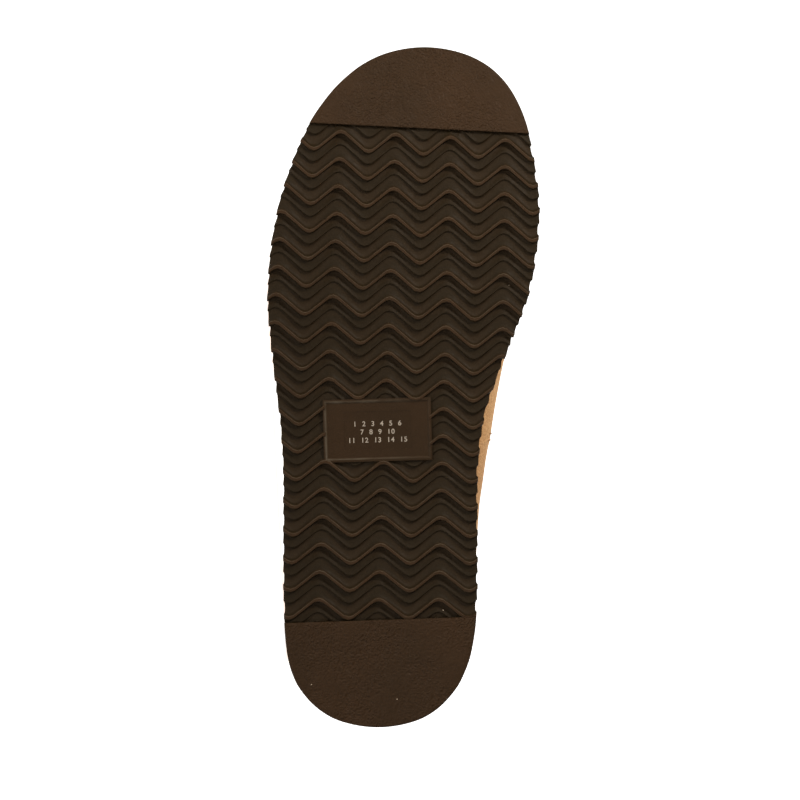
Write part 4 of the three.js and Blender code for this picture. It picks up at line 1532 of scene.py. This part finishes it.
@dataclass
class SuedeUpper:
    """The upper: one suede shell on the last, the vamp lapped over the quarters. Lengths in mm."""

    round_steps: int = 6
    low_rows: int = 12
    dome_rows: int = 44
    thickness: float = 1.4
    # Creases over the toes: where one crosses, its slant, its depth and its reach
    flex_creases: Table = Table("order along slant depth reach", [
        (0, 172, 0.1, 0.8, 5.5), (1, 186, 0.04, 1.1, 6.5), (2, 201, -0.06, 0.8, 6),
    ])
    crease_curve: float = 0.0016
    crease_lip: float = 0.6
    crease_lip_at: float = 1.4
    gather_depth: float = 0.28
    gather_rate: float = 9.4
    # Soft waves of the hide: a height, a size and a seed
    waves: tuple[tuple[float, float, float], ...] = ((0.45, 34, 2.0), (0.12, 9, 5.0))
    # Seams, and the places across a side seam, in mm from it, where stations stand
    seam_groove: float = 0.55
    seam_reach: float = 1.3
    seam_clear: float = 0.08
    seam_places: tuple[float, ...] = (-2.4, -1.2, -0.4, 0, 0.3, 0.6, 0.9, 1.2, 1.6, 2.4, 3.6)
    # Draw of the soft sides over the waist
    outer_draw: float = 1.2
    inner_draw: float = 0.5
    draw_at: float = 155.0
    draw_reach: float = 75.0
    skived: float = 0.8
    # Stitch rows: how far from their seam, the levels where they start, and how far they stand out
    stitch_rows: tuple[float, float] = (2.6, 5.6)
    back_row: float = 3.2
    seam_foot: float = 0.8
    back_foot: float = 0.25
    edge_gap: float = 0.02
    stitch_rise: float = 0.12
    finish: SuedeFinish = field(default_factory=SuedeFinish)
    thread: ThreadFinish = field(default_factory=ThreadFinish)

    def stations(self) -> Array:
        """Stations round the shoe, closer together at the side seams.

        Returns:
            The stations, in order.
        """
        regular = np.arange(LAST.loop_steps * self.round_steps) / self.round_steps
        places = np.array(self.seam_places)
        for inner in (False, True):
            seam = np.sort(LAST.station_of(LAST.seam_at + places / LAST.length, inner))
            clear = (regular < seam[0] - self.seam_clear) | (regular > seam[-1] + self.seam_clear)
            regular = np.sort(np.concatenate([regular[clear], seam]))
        return regular

    def lap(self, station: Array, level: Array) -> Array:
        """How far the vamp stands over the quarters, its edge skived thin low on the sides."""
        return LAST.lap(station) * (1 - self.skived * smooth((1.7 - level) / 0.5))

    def relief(self, station: Array, level: Array, points: Array) -> Array:
        """How far the suede stands out of the last's surface: creases, gathers, seams and soft waves.

        Args:
            station: stations round the shoe.
            level: levels on the upper.
            points: the last's points there.

        Returns:
            The distances.
        """
        x, y = points[..., 0], points[..., 1]
        top = smooth((level - 1.15) / 0.45)
        out = np.zeros_like(x)
        creases = self.flex_creases.columns
        for along, slant, depth, reach in zip(*(creases[n] for n in ("along", "slant", "depth", "reach"))):
            middle = along + slant * (y - 15) + self.crease_curve * (y - 10) ** 2
            out -= depth * top * bump_at(x, middle, reach)
            out += self.crease_lip * depth * top * bump_at(x, middle + self.crease_lip_at * reach, reach)
        gathers = smooth(1 - level / 0.7) * self.gather_depth
        out += gathers * np.sin(station * self.gather_rate + 1.7 * np.sin(station * 1.3))
        flat = points.reshape(-1, 3)
        for height, size, seed in self.waves:
            out += height * billow(flat, size, seed).reshape(x.shape)
        from_heel = np.minimum(station, LAST.loop_steps - station)
        gap = np.abs(y - LAST.outline.read("bend", LAST.share(station)) * LAST.ball_width)
        seam = bump_at(gap, 0, self.seam_reach) * (from_heel < 6)
        side = np.where(y < 0, self.outer_draw, self.inner_draw) * smooth(np.abs(y) / 15)
        out -= side * bump_at(x, self.draw_at, self.draw_reach) * bump_at(level, 1.0, 0.9)
        return out - self.seam_groove * seam

    def shell(self) -> bpy.types.Object:
        """The suede, with its outer face, inner face and edges.

        Returns:
            The closed wall.
        """
        grid = LastGrid(self.stations(), np.arange(self.low_rows) / self.low_rows, self.dome_rows)
        both = grid.normals
        both[0, :, 2] = 0
        both /= np.linalg.norm(both, axis=-1, keepdims=True)
        lap = self.lap(grid.around, grid.levels)
        stand = lap + self.relief(grid.folded, grid.levels, grid.points)
        outer = grid.points + both * stand[..., None]
        inner = grid.points + both * (stand - self.thickness - lap)[..., None]
        return shade(grid.wall("suede_upper", outer, inner), 50)

    def seam_line(self, offset: float, inner: bool) -> tuple[Array, Array]:
        """Points and normals of a stitch row beside a side seam.

        Args:
            offset: how far it lies in front of the seam.
            inner: whether it is on the inner side.

        Returns:
            The points and the normals.
        """
        station = LAST.station_of(LAST.seam_at + offset / LAST.length, inner)
        end = float(LAST.collar_level(np.array([station]))[0])
        levels = np.linspace(self.seam_foot, end - self.edge_gap, 60)
        around = np.full_like(levels, float(station))
        points, normals = LAST.upper_at(around, levels), LAST.normal_at(around, levels)
        stand = self.lap(around, levels) + self.relief(around, levels, points) + self.stitch_rise
        return points + normals * stand[:, None], normals

    def back_line(self, side: float) -> tuple[Array, Array]:
        """Points and normals of a stitch row beside the back seam.

        Args:
            side: -1 for the outer side, 1 for the inner.

        Returns:
            The points and the normals.
        """
        levels = np.linspace(self.back_foot, 1.9, 120)
        near = np.linspace(0.02, 4, 300)
        chosen = []
        for level in levels:
            line = LAST.upper_at(near, np.full_like(near, level))
            middle = LAST.upper_at(np.array([0.0]), np.array([level]))[0]
            chosen.append(np.interp(self.back_row, np.linalg.norm(line - middle, axis=1), near))
        station = np.array(chosen) if side < 0 else LAST.loop_steps - np.array(chosen)
        keep = levels < LAST.collar_level(station) - self.edge_gap
        levels, station = levels[keep], station[keep]
        points, normals = LAST.upper_at(station, levels), LAST.normal_at(station, levels)
        stand = self.relief(station, levels, points) + self.stitch_rise
        return points + normals * stand[:, None], normals

    def build(self) -> list[bpy.types.Object]:
        """The suede and its stitches.

        Returns:
            The pieces.
        """
        shell = dress(self.shell(), self.finish.build(), "suede", "upper")
        thread = self.thread.build()
        lines = [self.seam_line(offset, inner) for offset in self.stitch_rows for inner in (False, True)]
        seams = Stitching(material=thread).run("vamp_stitches", lines)
        backs = Stitching(material=thread).run("back_seam_stitches", [self.back_line(-1), self.back_line(1)])
        return [shell, dress(seams, thread, "suede"), dress(backs, thread, "suede")]


@dataclass
class FleeceLining:
    """The wool side of the sheepskin, inside the upper. Lengths in mm."""

    round_steps: int = 4
    dome_rows: int = 34
    pile: float = 1.6
    tuft: float = 3.2
    glue_gap: float = 0.15
    low_from: float = 0.12
    low_rows: int = 7
    edge_clear: float = 9.0
    edge_fade: float = 5.0
    sole_clear: float = 9.0
    sole_fade: float = 4.0
    seen_depth: float = 50.0
    seen_fade: float = 12.0
    locks: WoolLocks = field(
        default_factory=lambda: WoolLocks(spacing=2.2, length=3.4, radius=0.85, seed=11))
    finish: WoolFinish = field(default_factory=lambda: WoolFinish("lining_wool"))

    def shell(self) -> tuple[bpy.types.Object, Array]:
        """The lining as a thin wall with its tufts.

        Returns:
            The wall, and for each of its points how thickly locks grow there.
        """
        stations = np.arange(LAST.loop_steps * self.round_steps) / self.round_steps
        low = np.linspace(self.low_from, 1, self.low_rows + 1)[:-1]
        grid = LastGrid(stations, low, self.dome_rows)
        normals = grid.normals / np.linalg.norm(grid.normals, axis=-1, keepdims=True)
        away = np.linalg.norm(grid.points - LAST.upper_at(stations, grid.end)[None], axis=-1)
        over_sole = grid.points[..., 2] - LAST.sole_top(grid.points[..., 0]) - LAST.seat_gap
        room = smooth((away - self.edge_clear) / self.edge_fade) + (grid.end[None, :] > CLOSED)
        room = clamp01(room) * smooth((over_sole - self.sole_clear) / self.sole_fade)
        tufts = clumps(grid.points.reshape(-1, 3), self.tuft, 4.0).reshape(away.shape)
        outer = grid.points - normals * (SuedeUpper.thickness + self.glue_gap)
        inner = grid.points - normals * (LAST.upper_wall + self.pile * room * clamp01(tufts))[..., None]
        shell = shade(grid.wall("fleece_lining", outer, inner), 80)
        seen = (clamp01((self.seen_depth - away) / self.seen_fade) * (room > 0.3)).ravel()
        inside, outside = kdtree(inner.reshape(-1, 3)), kdtree(outer.reshape(-1, 3))
        grow = []
        for place in shoe_points(shell):
            _, nearest, gap = inside.find(place)
            grow.append(seen[nearest] * (gap < outside.find(place)[2]))
        return shell, np.array(grow)

    def build(self) -> list[bpy.types.Object]:
        """The lining, and the locks that show at the collar.

        Returns:
            The pieces.
        """
        shell, grow = self.shell()
        store(shell, "grow", grow)
        material = self.finish.build()
        locks = self.locks.run("fleece_lining_locks", shell, material)
        return [dress(shell, material, "cuff_wool"), dress(locks, material, "cuff_wool")]


@dataclass
class Footbed:
    """Sheepskin footbed, its wool side up. Lengths in mm."""

    thickness: float = 7.0
    crown: float = 1.6
    gap: float = 0.8
    tuft: float = 3.4
    pile: float = 1.1
    round_steps: int = 4
    cross_steps: int = 36
    tuft_level: float = 0.35
    seen_half: float = 34.0
    seen_half_fade: float = 4.0
    seen_to: float = 190.0
    seen_to_fade: float = 30.0
    locks: WoolLocks = field(
        default_factory=lambda: WoolLocks(spacing=2.2, length=3.2, radius=0.85, seed=21))
    section: Table = Table("step rise inset", [
        (0, 0, 0.3), (1, 0.12, 0.1), (2, 0.25, 0), (3, 0.5, 0), (4, 0.7, 0), (5, 0.84, 0.15),
        (6, 0.94, 0.5), (7, 1, 1),
    ])
    finish: WoolFinish = field(default_factory=lambda: WoolFinish("footbed_fleece", "efe2ca", "cdb38a"))

    def rings(self) -> list[Array]:
        """Rings of the footbed's side, from its underside up.

        Returns:
            The points of each ring.
        """
        stations = np.arange(LAST.loop_steps * self.round_steps) / self.round_steps
        inset = LAST.feather_inset + LAST.upper_wall + self.gap
        rings = []
        for rise, draw in zip(self.section.columns["rise"], self.section.columns["inset"]):
            plan = LAST.offset(stations, np.full_like(stations, -(inset + draw * self.crown)))
            height = LAST.sole_top(plan[:, 0]) + LAST.seat_gap + rise * self.thickness
            rings.append(np.column_stack([plan, height]))
        return rings

    def top(self, ring: Array) -> Array:
        """Woolly top, a grid between the two sides of a ring.

        Args:
            ring: the points of the side's last ring.

        Returns:
            The grid's points.
        """
        half = len(ring) // 2
        near, far = ring[:half + 1], ring[np.r_[0, len(ring) - 1:half - 1:-1]]
        across = np.linspace(0, 1, self.cross_steps + 1)[:, None, None]
        top = near[None] * (1 - across) + far[None] * across
        tufts = clumps(top.reshape(-1, 3), self.tuft, 9.0).reshape(top.shape[:2])
        inside = smooth(np.minimum(across[..., 0], 1 - across[..., 0]) * 12)
        top[..., 2] += self.pile * inside * (clamp01(tufts) - self.tuft_level)
        return top

    def growing(self, places: Array) -> Array:
        """How thickly locks grow: on the part of the top that can be seen through the collar.

        Args:
            places: points of the footbed in shoe millimetres.

        Returns:
            A number from 0 to 1 for each point.
        """
        rise = places[:, 2] - LAST.sole_top(places[:, 0]) - LAST.seat_gap
        bent = LAST.outline.read("bend", places[:, 0] / LAST.length) * LAST.ball_width
        middle = smooth((self.seen_half - np.abs(places[:, 1] - bent)) / self.seen_half_fade)
        rear = clamp01((self.seen_to - places[:, 0]) / self.seen_to_fade)
        return rear * (rise > 0.8 * self.thickness) * middle

    def build(self) -> list[bpy.types.Object]:
        """The footbed, and the locks on its top.

        Returns:
            The pieces.
        """
        rings = self.rings()
        top = self.top(rings[-1])
        count = len(rings[0])
        faces = [f[::-1] for f in grid_faces(len(rings), count, round_count=True)] + cap_faces(0, count)
        faces += grid_faces(*top.shape[:2], start=len(rings) * count)
        points = np.concatenate([*rings, top.reshape(-1, 3)])
        bed = shade(mesh_object("fleece_footbed", points, faces), 60)
        store(bed, "grow", self.growing(shoe_points(bed)))
        material = self.finish.build()
        locks = self.locks.run("footbed_locks", bed, material)
        dress(bed, material, "footbed_wool", "insole")
        return [bed, dress(locks, material, "footbed_wool")]


@dataclass
class WoolCuff:
    """The cuff: sheepskin turned over the collar edge, wool side out. Lengths in mm."""

    roll: float = 6.4
    turn_down: float = 7.5
    clear: float = 0.3
    throat_seat: float = 0.12
    round_steps: int = 6
    tuft: float = 3.6
    pile: float = 1.3
    tuft_level: float = 0.4
    section: Table = Table("step out past", [
        (0, 0.3, -1), (1, 0.66, -0.78), (2, 0.86, -0.3), (3, 0.8, 0.3), (4, 0.38, 0.82), (5, -0.25, 1),
        (6, -0.85, 0.75), (7, -1.2, 0.1), (8, -1.2, -0.6), (9, -0.8, -1.15),
    ])
    section_steps: int = 5
    plump: float = 0.84
    inner_press: float = 0.72
    outer_press: float = 0.1
    press_run: float = 3.0
    clipped: float = 2.5
    locks: WoolLocks = field(default_factory=lambda: WoolLocks(spacing=1.6, length=2.7, radius=0.7))
    finish: WoolFinish = field(default_factory=WoolFinish)

    def frames(self, station: Array, down: float) -> tuple[Array, Array, Array]:
        """Points on the wall's outer face under the collar edge, with out and past directions.

        Args:
            station: stations round the collar.
            down: how far under the edge.

        Returns:
            The points, the directions out of the wall and those past its edge.
        """
        edge = LAST.collar_level(station)
        under = LAST.upper_at(station, edge - LAST.probe)
        at_edge = LAST.upper_at(station, edge)
        rate = np.linalg.norm(at_edge - under, axis=-1) / LAST.probe
        level = edge - down / rate
        out = LAST.normal_at(station, level)
        ahead, behind = station + LAST.probe, station - LAST.probe
        onwards = LAST.upper_at(ahead, LAST.collar_level(ahead))
        onwards = onwards - LAST.upper_at(behind, LAST.collar_level(behind))
        past = np.cross(out, onwards)
        return LAST.upper_at(station, level), out, past / np.linalg.norm(past, axis=-1, keepdims=True)

    def contour(self) -> list[tuple[float, float, bool]]:
        """Section of the cuff: out of the wall, past its edge, and whether the point shows.

        Returns:
            The section's points.
        """
        steps = np.linspace(0, 9, 9 * self.section_steps + 1)
        outs = self.section.read("out", steps) * self.roll * self.plump
        pasts = self.section.read("past", steps)
        pasts = np.where(pasts > 0, pasts * self.roll * self.plump, pasts * self.turn_down)
        shown = [(o, p, True) for o, p in zip(outs, pasts)]
        inside, outside = -LAST.upper_wall - self.clear, self.clear
        hidden = [(inside, -self.turn_down), (inside, -0.5 * self.turn_down), (inside, self.clear),
                  (outside, self.clear), (outside, -0.5 * self.turn_down),
                  (outside, -0.95 * self.turn_down)]
        return shown + [(o, p, False) for o, p in hidden]

    def rings(self) -> tuple[Array, Array]:
        """Lines of the roll along the collar, one for each point of its section.

        Returns:
            The points of the lines, and for each line whether it shows.
        """
        reach = LAST.back_steps - self.throat_seat
        station = np.linspace(-reach, reach, 2 * LAST.back_steps * self.round_steps)
        _, _, edge_past = self.frames(station, 0.0)
        lap = LAST.lap(station)
        inner_press = 1 - self.inner_press * smooth(-station / self.press_run)
        press = np.where(station < 0, inner_press, 1 - self.outer_press)
        rings, shows = [], []
        for out, past, shown in self.contour():
            point, normal, _ = self.frames(station, max(-past, 0.0))
            stand = out * press + lap if out > 0 else np.full_like(lap, out)
            rings.append(point + normal * stand[:, None] + edge_past * max(past, 0.0))
            shows.append(shown)
        rings, shows = np.array(rings), np.array(shows)
        away = rings - rings.mean(axis=0, keepdims=True)
        away /= np.linalg.norm(away, axis=-1, keepdims=True)
        tufts = clumps(rings.reshape(-1, 3), self.tuft, 1.0).reshape(rings.shape[:2])
        puffed = shows[:, None] * self.pile * (clamp01(tufts) - self.tuft_level)
        return rings + away * puffed[..., None], shows

    def growing(self, places: Array, hidden: Array) -> Array:
        """Where locks grow: where the roll shows, but clipped beside the sole's inner edge.

        Args:
            places: points of the roll in shoe millimetres.
            hidden: those of its points that hug the wall.

        Returns:
            For each place, whether locks grow there.
        """
        known = {tuple(p) for p in np.round(hidden, 2)}
        shown = np.array([tuple(p) not in known for p in np.round(places, 2)])
        at = places[:, 0] / LAST.length
        half = np.sqrt(np.maximum(LAST.outline.read("half", at, 2), 0)) * LAST.ball_width / 2
        edge = LAST.outline.read("bend", at) * LAST.ball_width + half
        return shown & (places[:, 1] < edge - self.clipped)

    def build(self) -> list[bpy.types.Object]:
        """The roll with its tufts, and its locks.

        Returns:
            The pieces.
        """
        rings, shows = self.rings()
        faces = grid_faces(*rings.shape[:2], round_rows=True, round_count=True)
        cuff = shade(mesh_object("wool_cuff_roll", rings.reshape(-1, 3), faces), 80)
        store(cuff, "grow", self.growing(shoe_points(cuff), rings[~shows].reshape(-1, 3)))
        material = self.finish.build()
        locks = self.locks.run("wool_cuff_locks", cuff, material)
        dress(cuff, material, "cuff_wool", "wool_cuff")
        return [cuff, dress(locks, material, "cuff_wool")]


@dataclass
class Studio:
    """Plain pale studio: a floor that sweeps up into a backdrop, soft lights and the camera.

    The camera's lengths, down to the sensor's, are in millimetres, photo_scale is millimetres a pixel
    and photo_width is in pixels. The other lengths are in metres.
    """

    middle_along: float = 144.0
    middle_across: float = 8.6
    photo_scale: float = 0.4396
    photo_width: float = 800.0
    distance: float = 1800.0
    sensor: float = 36.0
    floor_glow: float = 0.85
    backdrop_glow: float = 1.0
    air_glow: float = 0.1
    floor_drop: float = 0.0002
    floor_front: float = -6.0
    floor_joint: float = 0.3
    floor_half_width: float = 7.0
    sweep_from: float = 2.2
    sweep_radius: float = 1.2
    sweep_steps: int = 15
    backdrop_top: float = 6.0
    aim: tuple[float, float, float] = (0.0, -0.02, 0.06)

    def camera(self) -> None:
        """Looks square at the sole with the toe up."""
        data = bpy.data.cameras.new("camera")
        data.sensor_width = self.sensor
        data.lens = self.sensor * self.distance / (self.photo_scale * self.photo_width)
        data.clip_start, data.clip_end = 0.05, 30.0
        camera = bpy.data.objects.new("camera", data)
        bpy.context.scene.collection.objects.link(camera)
        place = SHOE.place(np.array([[self.middle_along, self.middle_across, -self.distance]]))[0]
        turn = Matrix((SHOE.across, SHOE.along, -SHOE.up)).transposed()
        camera.matrix_world = Matrix.Translation(place) @ turn.to_4x4()
        bpy.context.scene.camera = camera

    def floor(self) -> None:
        """Pale floor that curves up behind the slipper."""
        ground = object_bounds()[0].z - self.floor_drop
        start, radius = self.sweep_from, self.sweep_radius
        profile = [(self.floor_front, ground), (self.floor_joint, ground), (start, ground)]
        profile += [(start + radius * math.sin(a), ground + radius * (1 - math.cos(a)))
                    for a in np.radians(np.linspace(6, 90, self.sweep_steps))]
        profile += [(start + radius, self.backdrop_top)]
        sides = (-self.floor_half_width, self.floor_half_width)
        points = [(x, y, z) for y, z in profile for x in sides]
        quads = [(2 * k, 2 * k + 1, 2 * k + 3, 2 * k + 2) for k in range(len(profile) - 1)]
        mesh = bpy.data.meshes.new("studio_floor")
        mesh.from_pydata(points, [], quads)
        mesh.shade_smooth()
        mesh.materials.append(self.paper("white_floor_paper", self.floor_glow))
        mesh.materials.append(self.paper("backlit_paper", self.backdrop_glow))
        mesh.polygons.foreach_set("material_index", [0] + [1] * (len(profile) - 2))
        new_object("studio_floor", mesh)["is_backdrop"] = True

    def paper(self, name: str, glow: float) -> bpy.types.Material:
        """White paper, lit through from behind.

        Args:
            name: the material's name.
            glow: how strongly it is lit through.

        Returns:
            The material.
        """
        material = bpy.data.materials.new(name)
        material.use_nodes = True
        shader = material.node_tree.nodes["Principled BSDF"]
        shader.inputs["Base Color"].default_value = linear("f4f2ee")
        shader.inputs["Roughness"].default_value = 0.9
        shader.inputs["Emission Color"].default_value = linear("ffffff")
        shader.inputs["Emission Strength"].default_value = glow
        return material

    def light(self, name: str, place: tuple[float, float, float], size: float, power: float,
              colour: str = "ffffff") -> None:
        """Square soft light that faces the slipper.

        Args:
            name: the light's name.
            place: its place in metres.
            size: its side in metres.
            power: its power in watts.
            colour: its colour.
        """
        data = bpy.data.lights.new(name, "AREA")
        data.shape, data.size, data.energy = "SQUARE", size, power
        data.color = linear(colour)[:3]
        lamp = bpy.data.objects.new(name, data)
        bpy.context.scene.collection.objects.link(lamp)
        turn = (Vector(self.aim) - Vector(place)).to_track_quat("-Z", "Y").to_matrix()
        lamp.matrix_world = Matrix.Translation(place) @ turn.to_4x4()

    def build(self) -> None:
        """Makes the floor, lights, world and camera, and sets plain colours for the picture."""
        scene = bpy.context.scene
        scene.view_settings.view_transform = "Standard"
        scene.view_settings.look = "None"
        world = bpy.data.worlds.new("studio_air")
        world.use_nodes = True
        air = world.node_tree.nodes["Background"]
        air.inputs["Color"].default_value = linear("ffffff")
        air.inputs["Strength"].default_value = self.air_glow
        scene.world = world
        self.light("key", (-0.55, -0.55, 0.6), 0.22, 10.5, "fff2e2")
        self.light("fill", (0.9, -1.6, 0.5), 1.2, 1.0)
        self.floor()
        self.camera()


def main() -> None:
    """Builds the slipper's pieces in order, then the studio."""
    logging.basicConfig(level=logging.INFO, format="%(message)s")
    for maker in (RubberSole(), SuedeUpper(), FleeceLining(), Footbed(), WoolCuff()):
        for piece in maker.build():
            LOG.info("made %s", piece.name)
    Studio().build()


if __name__ == "__main__":
    main()
